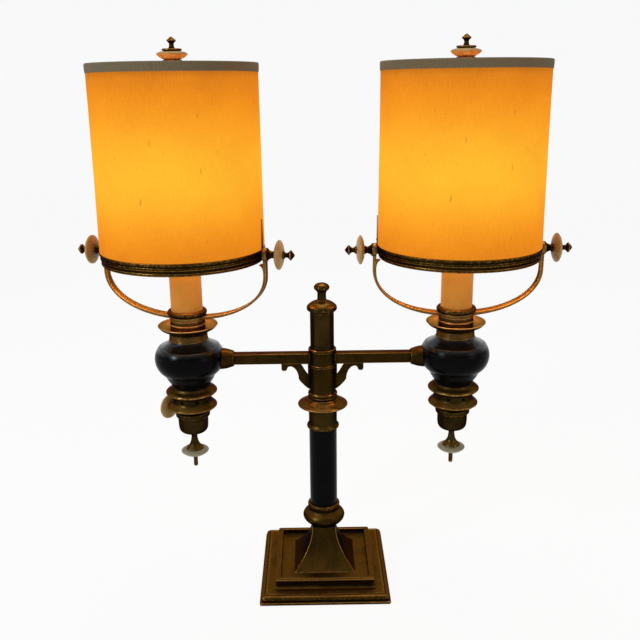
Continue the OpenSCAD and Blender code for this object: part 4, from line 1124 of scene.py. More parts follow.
@dataclass
class Base:
    """The moulded slab, the plinth with its sunk panel and the flared pyramid."""

    slab_half: float = 75.0
    bead_axis: float = 68.0
    roll_out: float = 2.8
    roll_up: float = 6.8
    roll_radius: float = 3.2
    cavity_half: float = 69.0
    plinth_face: float = 56.6
    cove_out: float = 2.9
    cove_high: float = 3.2
    plinth_high: float = 12.5
    panel_half: float = 51.5
    panel_deep: float = 6.0
    pyramid_head: float = 14.0
    pyramid_foot: float = 36.0
    pyramid_high: float = 47.0
    pyramid_flare: float = 2.1

    def slab_rows(self, foot: float) -> list[tuple[float, float, float]]:
        """The rows of the slab from its cavity round to its top.

        Args:
            foot: Height of the slab's rim.
        Returns:
            Half width, corner radius and height of each row.
        """
        half = self.slab_half
        rows = [(self.cavity_half, 4.0, 7.5), (self.cavity_half, 4.0, 0.5),
                (self.cavity_half + 0.3, 3.9, 0.12), (self.cavity_half + 0.8, 3.8, 0.0),
                (half - 0.6, 2.0, 0.0), (half - 0.18, 2.3, 0.1), (half - 0.02, 2.5, 0.45),
                (half, 2.5, 1.6), (half, 2.5, 2.7), (half - 0.1, 2.4, 2.95),
                (half - 0.4, 2.2, 3.1), (half - 2.3, 4.5, 3.1), (half - 2.55, 4.45, 3.2),
                (half - 2.6, 4.4, 3.6)]
        for rho, up in arc(self.roll_out, self.roll_up, self.roll_radius, -60, 100, 16):
            rows.append((self.bead_axis + rho, rho, up))
        for rho, up in ((1.75, 9.75), (1.5, 9.35), (1.2, 9.12), (0.9, 9.12), (0.62, 9.3),
                        (0.45, 9.7), (0.3, 9.92), (0.2, 10.0)):
            rows.append((self.bead_axis + rho, rho, up))
        rows += [(65.0, 0.2, 10.0), (56.0, 0.2, 10.0)]
        return [(wide, corner, foot + up) for wide, corner, up in rows]

    def plinth_rows(self, foot: float) -> list[tuple[float, float, float]]:
        """The rows of the plinth up to the floor of its panel.

        Args:
            foot: Height of the plinth's foot.
        Returns:
            Half width, corner radius and height of each row.
        """
        face = self.plinth_face
        out = self.cove_out
        rows = [(face + out - 0.2, 1 + out, 0.0), (face + out, 1 + out, 0.2),
                (face + out, 1 + out, 0.7)]
        for step in range(9):
            angle = math.radians(90 * step / 8)
            away = out * (1 - math.sin(angle))
            rows.append((face + away, 1 + away, 0.8 + self.cove_high * (1 - math.cos(angle))))
        rows += [(face, 1.0, 6.5), (face, 1.0, 9.3), (face + 0.1, 1.1, 9.6),
                 (face + 0.5, 1.4, 9.8), (face + 0.75, 1.7, 10.1), (face + 0.8, 1.8, 10.5),
                 (face + 0.75, 1.7, 10.9), (face + 0.5, 1.5, 11.15), (face - 0.4, 0.7, 11.25),
                 (face - 0.65, 0.45, 11.4), (face - 0.7, 0.4, 11.7), (face - 0.75, 0.4, 12.2),
                 (face - 0.95, 0.4, 12.45), (face - 1.3, 0.4, 12.5),
                 (self.panel_half + 0.6, 0.4, 12.5), (self.panel_half + 0.15, 0.4, 12.35),
                 (self.panel_half, 0.4, 11.9), (self.panel_half, 0.4, 7.2),
                 (self.panel_half - 0.15, 0.4, 6.7), (self.panel_half - 0.6, 0.4, 6.5),
                 (self.panel_half - 1.6, 0.4, 6.5), (self.pyramid_foot + 0.6, 0.4, 6.5),
                 (self.pyramid_foot - 1.0, 0.4, 6.5)]
        return [(wide, corner, foot + up) for wide, corner, up in rows]

    def pyramid_rows(self, foot: float) -> list[tuple[float, float, float]]:
        """The rows of the flared pyramid.

        Args:
            foot: Height of the panel's floor.
        Returns:
            Half width, corner radius and height of each row.
        """
        rows = [(self.pyramid_foot, 0.7, -0.5)]
        for step in range(25):
            t = step / 24
            wide = (self.pyramid_foot - self.pyramid_head) * (1 - t) ** self.pyramid_flare
            rows.append((self.pyramid_head + wide, 0.7, self.pyramid_high * t))
        return [(wide, corner, foot + up) for wide, corner, up in rows]

    def build(self, bench: Bench) -> None:
        """Builds the base's pieces.

        Args:
            bench: Where they are dressed.
        """
        slab = Shape()
        slab.draw_square(self.slab_rows(bench.low("base_slab")))
        bench.deliver(slab.finish("moulded_slab"), "stand", Finish.BRONZE, "base_slab")
        foot = bench.low("base_pedestal")
        plinth = Shape()
        plinth.draw_square(self.plinth_rows(foot))
        bench.deliver(plinth.finish("sunk_panel_plinth"), "stand", Finish.BRONZE,
                      "base_pedestal")
        pyramid = Shape()
        pyramid.draw_square(self.pyramid_rows(foot + self.plinth_high - self.panel_deep))
        bench.deliver(pyramid.finish("flared_pyramid"), "stand", Finish.BRONZE, "base_pedestal")
        bench.keep_node("base_felt", Finish.FELT)
        bench.keep_node("base_weight", Finish.IRON)
        bench.keep_node("cord_bushing", Finish.RUBBER)
        bench.keep_node("tie_rod", Finish.STEEL)


@dataclass
class Column:
    """The turned foot, the black column and the brass stem with its cap and knob."""

    foot: Outline = ((15.5, 0, 0.2), (16.2, 1.4), (19, 3), (22, 5.3), (24, 8), (24.8, 11),
                     (24.4, 13), (22.8, 15.6), (19.6, 18.4), (18.3, 20, 0.8), (17.8, 21, 0.6),
                     (18.2, 22.4), (18.8, 24.4), (19, 25.6), (18.6, 27), (17.6, 28, 0.4))
    tube_radius: float = 16.0
    flange: Outline = ((16.4, 0, 0.1), (17.8, 0.6), (18.6, 2.2), (18.6, 3.6), (17.8, 5),
                       (16.6, 6.2), (16.2, 8), (16.3, 24, 0.8), (18.6, 25.4, 1.5),
                       (25.1, 27.2), (28.2, 28.6, 0.8), (28.7, 29.6, 0.5), (28.2, 30.6, 0.8),
                       (25.7, 31.9), (20.6, 34.2), (18, 37.5, 0.3))
    flange_high: float = 37.5
    stem_radius: float = 13.4
    cap: Outline = ((15.6, 0, 0.2), (16.9, 1.6), (17, 3.4), (16.5, 5.4), (14.6, 7.3),
                    (11.6, 9.5), (8.6, 10.7), (6.4, 11.4, 0.3))
    cap_high: float = 11.4
    knob_high: float = 20.2
    knob_radius: float = 8.8

    def knob_outline(self) -> list:
        """The outline of the knob: a neck under a flattened ball."""
        ball = [(self.knob_radius * math.cos(math.radians(a)),
                 14.9 + 5.3 * math.sin(math.radians(a))) for a in range(-50, 81, 13)]
        return [(6.2, 0, 0.2), (5, 1.4), (4.8, 8.4), (5.4, 9.6), *ball, (0.0, 20.2)]

    def build(self, bench: Bench) -> None:
        """Builds the column's pieces.

        Args:
            bench: Where they are dressed.
        """
        bench.turned("turned_column_foot", self.foot, at(z=bench.low("column_foot")), "stand",
                     Finish.BRONZE, "column_foot", fillet=3.0)
        low, high = bench.low("column_tube"), bench.high("column_tube")
        tube = [(self.tube_radius, 0, 0.2), (self.tube_radius, high - low, 0.2)]
        bench.turned("black_column", tube, at(z=low), "stand", Finish.ENAMEL, "column_tube",
                     longest=4.0)
        bench.turned("knife_edged_flange", self.flange,
                     at(z=bench.high("column_flange") - self.flange_high), "stand",
                     Finish.OLD_BRASS, "column_flange", fillet=2.5)
        low, high = bench.low("stem_tube"), bench.high("stem_tube")
        stem = [(self.stem_radius, 0, 0.2), (self.stem_radius, high - low, 0.2)]
        bench.turned("brass_stem", stem, at(z=low), "stand", Finish.OLD_BRASS, "stem_tube",
                     longest=4.0)
        bench.turned("domed_cap", self.cap, at(z=bench.high("stem_cap") - self.cap_high),
                     "stand", Finish.OLD_BRASS, "stem_cap", fillet=2.5)
        bench.turned("top_knob", self.knob_outline(),
                     at(z=bench.high("stem_knob") - self.knob_high), "stand",
                     Finish.OLD_BRASS, "stem_knob", fillet=2.0)


# The arm


@dataclass
class Arm:
    """The sleeve on the stem, the square tubes, their ferrules and the pierced brackets."""

    sleeve: Outline = ((13.45, 0, 0.1), (15.6, 0, 0.3), (15.6, 1.6, 0.4), (15.2, 2.2, 0.3),
                       (15.2, 3.2, 0.4), (16.7, 4.0, 0.6), (16.9, 5.2, 0.6), (16.4, 6.6, 0.5),
                       (14.7, 7.4, 0.5), (14.7, 37.6, 0.3), (15.5, 37.9, 0.3),
                       (15.75, 39.3, 1), (15.5, 40.7, 0.3), (14.7, 41.0, 0.3),
                       (14.7, 55.2, 0.4), (15.6, 55.8, 0.4), (16, 57.4, 0.9),
                       (15.6, 58.9, 0.5), (15, 59.4, 0.2), (13.45, 59.4, 0.1))
    tube_half: float = 6.0
    ferrule: Outline = ((12.2, 0, 0.1), (12.0, 4.5), (11.5, 8.2), (10.6, 11.6), (9.7, 14.2),
                        (9.1, 16.2, 0.6), (8.6, 17, 0.3))
    font_radius: float = 39.0
    ferrule_inset: float = 6.0
    bracket_reach: float = 32.0
    bracket_drop: float = 31.5
    bracket_lobe: float = 7.6
    bracket_hollow: float = 4.9
    bracket_thick: float = 4.0
    sleeve_radius: float = 14.6

    def bracket_edge(self) -> list[tuple[float, float]]:
        """The edge of a bracket: tab, hollow arch, cusp and tail down the sleeve."""
        start = self.sleeve_radius
        reach = start + self.bracket_reach
        cusp = Vector((start + 12.6, -self.bracket_drop * 0.6))
        lobe = Vector((reach - 6.4, -self.bracket_lobe))
        tail = softened([(start, -self.bracket_drop), (start + 2.0, -self.bracket_drop + 0.6),
                         (start + 6.4, -27.0), (cusp.x - 1.5, -21.8), (*cusp,)], 3.0)
        edge = [(start, 0.0), *(tuple(point) for point in tail)]
        middle = (cusp.x + lobe.x) / 2
        for step in range(1, 17):
            angle = math.radians(180 * step / 16)
            along = step / 16
            foot = cusp.y + (lobe.y - cusp.y) * along
            rise = (-self.bracket_hollow - (cusp.y + lobe.y) / 2) * math.sin(angle)
            edge.append((middle - (middle - cusp.x) * math.cos(angle), foot + rise))
        end = softened([(*lobe,), (lobe.x + 1.4, -9.4), (reach - 1.2, -9.4), (reach, -7.6),
                        (reach, -3.0), (reach, 0.0)], 1.2)
        return edge + [tuple(point) for point in end[1:]]

    def bracket_hole(self) -> list[tuple[float, float]]:
        """The pierced corner between bracket, arm and sleeve."""
        x = self.sleeve_radius + 2.0
        return [(x, -1.6), (x + 8.6, -1.6), (x + 6.4, -4.4), (x + 4.6, -7.6), (x + 2.6, -11.2),
                (x, -14.8)]

    def build(self, bench: Bench) -> None:
        """Builds the arm's pieces.

        Args:
            bench: Where they are dressed.
        """
        bench.turned("arm_socket_sleeve", self.sleeve, at(z=bench.low("arm_sleeve")), "arm",
                     Finish.BRONZE, "arm_sleeve", closed=True)
        middle = (bench.low("arm_tubes") + bench.high("arm_tubes")) / 2
        lowest = middle - self.tube_half
        edge = self.bracket_edge()
        hole = self.bracket_hole()
        for side in Side:
            sign = side.sign
            axis_x = bench.axis_x(side)
            ends = sorted((sign * 13.9, axis_x - sign * (self.font_radius - 2.0)))
            tube = Shape()
            tube.lay_bar((ends[0], -self.tube_half, lowest),
                         (ends[1], self.tube_half, lowest + 2 * self.tube_half), 0.7)
            bench.deliver(tube.finish(side.node("square_arm")), "arm", Finish.BRONZE,
                          "arm_tubes")
            start = axis_x - sign * (self.font_radius - self.ferrule_inset)
            bench.turned(side.node("ferrule"), self.ferrule,
                         Matrix.Translation((start, 0, middle)) @ facing((-sign, 0, 0)), "arm",
                         Finish.BRONZE, "arm_ferrules", fillet=1.2)
            plate = Shape()
            upright = Matrix.Translation((0, -sign * self.bracket_thick / 2, lowest)) @ Matrix(
                ((sign, 0, 0, 0), (0, 0, sign, 0), (0, 1, 0, 0), (0, 0, 0, 1)))
            plate.cut_plate(edge, self.bracket_thick, upright, hole, 0.5)
            bench.deliver(plate.finish(side.node("bracket")), "arm", Finish.BRONZE,
                          "arm_brackets")
        bench.keep_node("arm_wiring", Finish.WIRE)


# The two lamps


@dataclass
class Lamp:
    """One lamp from the pin under its lowest disc to its bulb."""

    side: Side
    font_foot: Outline = ((21.6, 0, 0.3), (22.0, 2.6, 1.5), (23.8, 5.8, 2.0), (26.2, 9.4, 2.0))
    font_throat: Outline = ((31.4, 48.0, 1.0), (29.2, 49.2, 1.5), (25.2, 51.6, 2.0),
                            (22.5, 54.2, 1.5), (21.5, 56.0, 0.3))
    neck_foot: Outline = ((20.4, 8.2, 0.1), (21.7, 8.6, 0.3), (21.9, 9.5, 0.3),
                          (21.2, 10.1, 0.2))
    neck_head: Outline = ((21.2, 16.4, 0.2), (22.6, 17.8, 0.2))
    neck_radius: float = 21.1
    neck_ridge: float = 0.2
    neck_ridges: int = 6
    pan: Outline = ((22.6, 0, 0.2), (24, 1.2), (30, 3.9), (33.3, 7.7, 0.5), (32.6, 8.4, 0.4),
                    (31.7, 7.4, 0.5), (28.9, 4.8), (20.9, 2.4, 1.0), (19.3, 2, 0.6),
                    (19.3, 8.4, 0.3), (20.3, 8.8, 0.4), (20.3, 10, 0.5), (19.3, 10.4, 0.3),
                    (19.3, 14.6, 0.2))
    collar: Outline = ((19.3, 0, 0.1), (19.3, 0.6, 0.2), (20.5, 1.2, 0.6), (22, 2.8),
                       (22, 5), (20.6, 6.6, 0.5), (17.8, 6.6, 0.3), (17.8, 3.4, 0.2))
    candle_radius: float = 17.5
    candle_wall: float = 1.2
    candle_high: float = 77.0
    band: Outline = ((19.6, 0, 0.2), (21.5, 1.5, 1.0), (28, 6.4, 0.8), (28.3, 7.2, 0.4),
                     (28, 8, 0.8), (22.3, 13.5, 2.0), (22.3, 19.2, 1.5), (23, 20.6, 1.0),
                     (27.5, 22.4, 1.5), (29, 24, 0.7), (29, 25.2, 0.7), (27.5, 26.8, 1.5),
                     (23, 28.5, 1.2), (21.6, 31, 0.2))
    vent_height: float = 16.35
    vent_radius: float = 2.0
    vents: int = 8
    cup: Outline = ((5, 0, 0.2), (10.4, 0.7), (14.4, 2.4), (16.4, 5.4), (17.0, 10),
                    (17.2, 20.6, 0.5), (19.2, 21.6, 0.5), (19.6, 22.6, 0.6), (19.6, 26, 0.6),
                    (19.2, 27, 0.2))
    trumpet: Outline = ((10, 0, 0.1), (9.6, 1, 0.6), (6.6, 3.6), (4.4, 7.6), (3.5, 13),
                        (3.4, 16), (4.2, 18.8), (5, 19.6, 0.2))
    trumpet_high: float = 19.6
    drop_disc: Outline = ((5.1, 0, 0.1), (8.8, 0.35), (12.5, 2.2), (14.9, 4.2), (16, 5.4, 0.9),
                          (15.8, 6.2, 0.7), (14.2, 7.2), (10.5, 8.2), (5.1, 8.8, 0.1))
    disc_high: float = 8.8
    pin_radius: float = 2.4
    pin_long: float = 14.0
    strap_out: float = 93.4
    strap_in: float = 89.9
    strap_half_wide: float = 4.5
    strap_half_low: float = 6.3
    strap_leg: float = 22.5
    hub_high: float = 4.0
    hub_radius: float = 19.5
    eye_radius: float = 7.4
    gusset: Outline = ((0.6, -10.8), (-4.4, -10.8), (-4.2, -11.5), (-2.6, -12.6), (-1.3, -14.3),
                       (-0.5, -16.6), (0.0, -19.8), (0.6, -19.8))
    gusset_half_wide: float = 3.6
    bulb_high: float = 80.0
    bulb_radius: float = 29.0
    screw_radius: float = 13.0
    screw_high: float = 24.0

    def font_outline(self) -> list:
        """The font's outline: its waist, its round shoulder and its throat."""
        swell = [(*point, 4.0) for point in arc(17.0, 33.5, 22.0, -58, 40, 14)]
        return [*self.font_foot, *swell, *self.font_throat]

    def neck_outline(self) -> list:
        """The neck's outline, with fine ridges."""
        first, last = self.neck_foot[-1][1], self.neck_head[0][1]
        pitch = (last - first) / self.neck_ridges
        ridges = []
        for index in range(self.neck_ridges):
            middle = first + pitch * (index + 0.5)
            ridges += [(self.neck_radius - 0.1, middle - 0.38 * pitch, 0.15),
                       (self.neck_radius + self.neck_ridge, middle - 0.12 * pitch, 0.15),
                       (self.neck_radius + self.neck_ridge, middle + 0.12 * pitch, 0.15),
                       (self.neck_radius - 0.1, middle + 0.38 * pitch, 0.15)]
        return [*self.neck_foot, *ridges, *self.neck_head]

    def strap_rings(self, pivot: float, seat: float) -> list[list[Vector]]:
        """Sections of the yoke's strap, from one pivot down under the candle to the other.

        Args:
            pivot: Height of the pivots.
            seat: Height of the yoke's seat.
        Returns:
            Rings of points.
        """
        spring = pivot - self.strap_leg
        drop = spring - seat

        def curve(reach: float, deep: float, power: float, t: float) -> Vector:
            """A point of the strap's outer or inner curve, t from -90 to 90 degrees."""
            s, c = math.sin(math.radians(t)), math.cos(math.radians(t))
            x = math.copysign(abs(s) ** (2 / power), s) * reach
            return Vector((x, 0.0, spring - deep * max(c, 0.0) ** (2 / power)))

        stations = []
        for sign in (-1, 1):
            legs = [(Vector((sign * self.strap_out, 0, pivot - k * self.strap_leg / 4)),
                     Vector((sign * self.strap_in, 0, pivot - k * self.strap_leg / 4)), 0.0)
                    for k in range(4)]
            turns = [90 * (1 - (1 - k / 26) ** 1.3) for k in range(27)]
            bends = [(curve(self.strap_out, drop, 2.1, sign * t),
                      curve(self.strap_in, drop - self.hub_high, 2.2, sign * t),
                      math.cos(math.radians(t))) for t in turns]
            stations += legs + bends[:0:-1] if sign < 0 else bends + legs[::-1]
        rings = []
        for outside, inside, depth in stations:
            middle = (outside + inside) / 2
            across = (outside - inside).normalized()
            half = (outside - inside).length / 2
            wide = self.strap_half_wide + (self.strap_half_low - self.strap_half_wide) * depth
            section = rounded_rectangle(half, wide, min(0.9, half * 0.6), 3)
            rings.append([middle + across * u + Vector((0, v, 0)) for u, v in section])
        return rings

    def build_yoke(self, bench: Bench) -> None:
        """Builds the yoke, turned as its pivots are.

        Args:
            bench: Where it is dressed.
        """
        side = self.side
        pivot = bench.pivot_height(side)
        seat = bench.low(side.node("yoke"))
        place = at(bench.axis_x(side), turn=bench.tilt_turn(side))
        yoke = Shape()
        yoke.draw(self.strap_rings(pivot, seat), place)
        hub = ((self.hub_radius, 0.05, 0.4), (self.hub_radius, self.hub_high - 0.05, 0.4))
        yoke.turn(hub, place @ at(z=seat))
        thick = self.strap_out - self.strap_in
        eye = ((self.eye_radius, -0.1, 0.5), (self.eye_radius, thick + 0.1, 0.5))
        for sign in (-1, 1):
            out = Matrix.Translation((sign * self.strap_in, 0, pivot)) @ facing((sign, 0, 0))
            yoke.turn(eye, place @ out, columns=40)
            upright = Matrix(((sign, 0, 0, 0), (0, 0, -sign, 0), (0, 1, 0, 0), (0, 0, 0, 1)))
            head = Matrix.Translation((sign * self.strap_in, sign * self.gusset_half_wide, pivot))
            yoke.cut_plate(self.gusset, 2 * self.gusset_half_wide, place @ head @ upright)
        bench.deliver(yoke.finish(side.node("yoke_strap")), "arm", Finish.BRONZE,
                      side.node("yoke"), material=bench.bulb_lit_strap_metal)

    def build_band(self, bench: Bench, place: Matrix) -> None:
        """Builds the pierced band with its two knife-edged rings.

        Args:
            bench: Where it is dressed.
            place: The lamp's axis.
        """
        node = self.side.node("vent_band")
        band = Shape()
        band.turn(self.band, place @ at(z=bench.low(node)), fillet=1.0, columns=112)
        piece = band.finish(self.side.node("pierced_band"))
        drill = Shape()
        for index in range(self.vents):
            turn = math.tau * (index + 0.5) / self.vents
            aim = facing((math.cos(turn), math.sin(turn), 0))
            where = place @ at(z=bench.low(node) + self.vent_height) @ aim
            drill.turn(((self.vent_radius, 18.0, 0.1), (self.vent_radius, 26.0, 0.1)), where,
                       columns=20, longest=9.0)
        cutter = drill.finish("vent_drill")
        cut = piece.modifiers.new("vents", "BOOLEAN")
        cut.object = cutter
        cut.operation = "DIFFERENCE"
        cut.solver = "EXACT"
        graph = bpy.context.evaluated_depsgraph_get()
        pierced = bpy.data.meshes.new_from_object(piece.evaluated_get(graph))
        piece.modifiers.clear()
        piece.data = pierced
        bpy.data.objects.remove(cutter)
        bench.deliver(piece, "arm", Finish.OLD_BRASS, node)

    def build_candle(self, bench: Bench, place: Matrix) -> None:
        """Builds the candle sleeve, the bulb and its screw cap.

        Args:
            bench: Where they are dressed.
            place: The lamp's axis.
        """
        side = self.side
        inner = self.candle_radius - self.candle_wall
        sleeve = ((inner, 0, 0.3), (self.candle_radius, 0, 0.3),
                  (self.candle_radius, self.candle_high, 0.5), (inner, self.candle_high, 0.5))
        bench.turned(side.node("candle"), sleeve, place @ at(z=bench.low(
            side.node("candle_sleeve"))), "arm", Finish.CANDLE, side.node("candle_sleeve"),
            closed=True, longest=4.0)
        top = bench.high(side.node("bulb"))
        globe = [(*point, 6.0) for point in arc(0, 51.0, self.bulb_radius, -46, 90, 18)]
        glass = [(12.6, 0, 0.3), (13.4, 7, 4.0), (15.6, 14, 4.0), *globe]
        glass[-1] = (0.0, self.bulb_high)
        bench.turned(side.node("bulb_envelope"), glass, place @ at(z=top - self.bulb_high),
                     "arm", Finish.BULB, side.node("bulb"), fillet=4.0, columns=72)
        thread = [(3.4, 0, 0.3), (5, 1.4), (11.6, 4), (self.screw_radius - 0.4, 5)]
        for turn in range(5):
            z = 6.0 + 3.2 * turn
            thread += [(self.screw_radius, z, 0.7), (self.screw_radius, z + 1.0, 0.7),
                       (self.screw_radius - 0.9, z + 1.9, 0.5),
                       (self.screw_radius - 0.9, z + 2.3, 0.5)]
        thread += [(self.screw_radius, self.screw_high - 1.4), (12.6, self.screw_high)]
        bench.turned(side.node("bulb_screw_cap"), thread, place @ at(
            z=top - self.bulb_high - self.screw_high), "arm", Finish.STEEL, side.node("bulb"))

    def build(self, bench: Bench) -> None:
        """Builds the lamp's pieces that ride on the arm.

        Args:
            bench: Where they are dressed.
        """
        side = self.side
        place = at(bench.axis_x(side))
        bench.turned(side.node("enamelled_font"), self.font_outline(),
                     place @ at(z=bench.low(side.node("font_body"))), "arm", Finish.ENAMEL,
                     side.node("font_body"), side.node("font_neck"), fillet=2.0, columns=128)
        for name, outline, node, fillet, metal in (
                ("spun_neck", self.neck_outline(), "font_neck", 0.5, None),
                ("dished_pan", self.pan, "drip_pan", 1.5, bench.bulb_lit_pan_metal),
                ("candle_collar", self.collar, "collar", 1.2, None),
                ("round_cup", self.cup, "lower_cup", 2.5, None)):
            bench.turned(side.node(name), outline, place @ at(z=bench.low(side.node(node))),
                         "arm", Finish.OLD_BRASS, side.node(node), fillet=fillet,
                         material=metal)
        self.build_yoke(bench)
        self.build_band(bench, place)
        self.build_candle(bench, place)
        foot = bench.high("drop_trumpets") - self.trumpet_high
        bench.turned(side.node("drop_trumpet"), self.trumpet, place @ at(z=foot), "arm",
                     Finish.OLD_BRASS, "drop_trumpets", fillet=2.5, columns=64)
        disc_foot = foot - self.disc_high
        bench.turned(side.node("drop_disc"), self.drop_disc, place @ at(z=disc_foot), "arm",
                     Finish.IVORY, "drop_discs", fillet=2.0, material=bench.shaded_ivory)
        pin = ((0.9, -self.pin_long - 1.0, 0.3), (self.pin_radius, -self.pin_long + 0.3, 0.6),
               (self.pin_radius, 1.0, 0.1))
        bench.turned(side.node("drop_pin"), pin, place @ at(z=disc_foot), "arm",
                     Finish.BRONZE, "drop_trumpets", columns=32)
        bench.keep_node(side.node("lamp_holder"), Finish.RESIN)


# The tilting shades


@dataclass
class Shade:
    """One drum shade: its gallery ring with tongues, cloth, liner, braid, spider and finial."""

    side: Side
    gallery: Outline = ((84.6, 0.1, 0.3), (86.6, 0, 0.4), (87.3, 0.8, 0.5), (87.3, 2.7, 0.5),
                        (86.5, 3.5, 0.5), (86.9, 5.1, 0.8), (88.1, 6.2, 0.6), (88.1, 8.4, 0.6),
                        (87.5, 9.45, 0.5), (88.9, 11.1, 0.7), (89, 12.7, 0.5), (88.6, 13.5, 0.4),
                        (86.9, 13.5, 0.3), (86.9, 17.5, 0.3), (84.6, 17.5, 0.3))
    pad_in: float = 85.6
    pad_out: float = 89.6
    pad_radius: float = 4.8
    stud_radius: float = 2.0
    stud_out: float = 100.1
    leaf: Outline = ((-4.25, 1), (4.25, 1), (4.1, 3.5), (3.57, 6), (2.6, 11), (1.95, 16),
                     (1.36, 22.8), (0.9, 30), (0.5, 37.4), (0.0, 38), (-0.5, 37.4), (-0.9, 30),
                     (-1.36, 22.8), (-1.95, 16), (-2.6, 11), (-3.57, 6), (-4.1, 3.5))
    leaf_thick: float = 0.9
    foot_radius: float = 88.4
    head_radius: float = 87.0
    high: float = 190.0
    cloth_thick: float = 0.4
    braid_high: float = 9.0
    braid_ribs: int = 220
    columns: int = 180
    cup: Outline = ((5.3, 0, 0.2), (5.3, 0.6, 0.5), (6.6, 1.28), (9.4, 2.4), (9.9, 3.2, 0.2))
    disc: Outline = ((5.1, 0, 0.1), (8.8, 0.35), (12.5, 2.2), (14.9, 4.2), (16, 5.4, 0.9),
                     (15.8, 6.2, 0.7), (14.2, 7.2), (10.5, 8.2), (5.1, 8.8, 0.1))
    tip: Outline = ((9.6, 0, 0.2), (10.2, 0.6, 0.4), (10.2, 1.6, 0.4), (9.2, 2.1, 0.4),
                    (3.6, 2.3, 0.8), (2.7, 3.4, 0.8), (2.3, 6.0, 1.2), (2.7, 7.6, 1.2),
                    (4.3, 9.0, 0.5), (4.9, 9.8, 0.4), (4.6, 10.5, 0.4), (3.2, 11.3, 0.4),
                    (2.5, 12.0, 0.3), (1.0, 13.4, 0.3), (0.0, 13.8))
    bright_turn: float = 18.0

    @property
    def body(self) -> str:
        """The body that the shade rides on."""
        return self.side.node("tilt")

    def build_gallery(self, bench: Bench, place: Matrix, turned_place: Matrix) -> Object:
        """Builds the ring that carries the shade, with its pivots and leaf tongues.

        Args:
            bench: Where they are dressed.
            place: The lamp's axis.
            turned_place: The same, turned as the pivots are.
        Returns:
            The ring.
        """
        side = self.side
        node = side.node("gallery_ring")
        ring = bench.turned(side.node("gallery"), self.gallery, place @ at(z=bench.low(node)),
                            self.body, Finish.BRONZE, node, closed=True, columns=192,
                            longest=3.0)
        pivot = bench.pivot_height(side)
        pivots = Shape()
        leaves = Shape()
        for sign in (-1, 1):
            out = turned_place @ Matrix.Translation((0, 0, pivot)) @ facing((sign, 0, 0))
            pivots.turn(((self.pad_radius, self.pad_in, 0.3),
                         (self.pad_radius, self.pad_out, 0.4)), out, columns=40)
            pivots.turn(((self.stud_radius, self.pad_out - 1, 0.1),
                         (self.stud_radius, self.stud_out, 0.3)), out, columns=24)
            upright = Matrix(((0, 0, sign, 0), (sign, 0, 0, 0), (0, 1, 0, 0), (0, 0, 0, 1)))
            leaves.cut_plate(self.leaf, self.leaf_thick,
                             turned_place @ Matrix.Translation(
                                 (sign * (self.foot_radius + 0.25), 0, pivot)) @ upright,
                             soft=0.25)
        bench.deliver(pivots.finish(side.node("pivots")), self.body, Finish.BRONZE, node)
        bench.deliver(leaves.finish(side.node("leaf_tongues")), self.body, Finish.BRONZE, node)
        rivets = Shape()
        for sign in (-1, 1):
            reach = self.foot_radius + 0.25 + self.leaf_thick
            out = turned_place @ Matrix.Translation((0, 0, pivot + 11.5)) @ facing((sign, 0, 0))
            rivets.turn(((1.5, reach - 0.6, 0.1), (1.5, reach, 0.3), (0.9, reach + 0.55, 0.5),
                         (0.0, reach + 0.7)), out, columns=20)
        bench.deliver(rivets.finish(side.node("tongue_rivets")), self.body, Finish.OLD_BRASS,
                      node)
        return ring

    def wall(self, name: str, place: Matrix, foot: float, inset: float, low: float,
             high: float) -> Object:
        """Makes a tapered tube of cloth with its UV map in metres.

        Args:
            name: The piece's name.
            place: The lamp's axis.
            foot: Height of the shade's foot.
            inset: How far inside the shade's outer face it lies.
            low: Height of its lower edge above the foot.
            high: Height of its upper edge above the foot.
        Returns:
            The tube, one face thick.
        """
        sheet = bmesh.new()
        rows = 48
        slope = (self.head_radius - self.foot_radius) / self.high
        made = []
        for row in range(rows + 1):
            z = low + (high - low) * row / rows
            made.append(sheet.verts.new((0, -(self.foot_radius - inset + slope * z), foot + z)))
        edges = [sheet.edges.new(pair) for pair in zip(made, made[1:])]
        bmesh.ops.rotate(sheet, cent=(0, 0, 0), matrix=Matrix.Rotation(math.pi, 3, "Z"),
                         verts=made)
        bmesh.ops.spin(sheet, geom=made + edges, cent=(0, 0, 0), axis=(0, 0, 1),
                       angle=math.tau, steps=self.columns, use_merge=True)
        bmesh.ops.recalc_face_normals(sheet, faces=sheet.faces)
        for vert in sheet.verts:
            turn = math.atan2(vert.co.y, vert.co.x)
            calm = math.sin(math.pi * (vert.co.z - foot - low) / (high - low))
            ripple = 0.16 * math.sin(5 * turn + 0.6) + 0.1 * math.sin(11 * turn + vert.co.z / 40)
            ripple += 0.22 * noise.noise(vert.co / 28.0)
            outward = Vector((vert.co.x, vert.co.y, 0)).normalized()
            vert.co += outward * (ripple - 0.25) * calm
        uv = sheet.loops.layers.uv.new("cloth")
        for face in sheet.faces:
            face.smooth = True
            middle = face.calc_center_median()
            heading = math.atan2(middle.x, -middle.y)
            for loop in face.loops:
                point = loop.vert.co
                turn = math.atan2(point.x, -point.y)
                turn += math.tau * round((heading - turn) / math.tau)
                loop[uv].uv = (turn * self.foot_radius * MM, (point.z - foot) * MM)
        bmesh.ops.transform(sheet, matrix=Matrix.Scale(MM, 4) @ place, verts=sheet.verts)
        if sheet.faces[:] and sum(face.normal.dot(Vector((face.calc_center_median().x - place.
                translation.x * MM, face.calc_center_median().y, 0)))
                for face in sheet.faces) < 0:
            bmesh.ops.reverse_faces(sheet, faces=sheet.faces)
        mesh = bpy.data.meshes.new(name)
        sheet.to_mesh(mesh)
        sheet.free()
        piece = bpy.data.objects.new(name, mesh)
        bpy.context.scene.collection.objects.link(piece)
        return piece

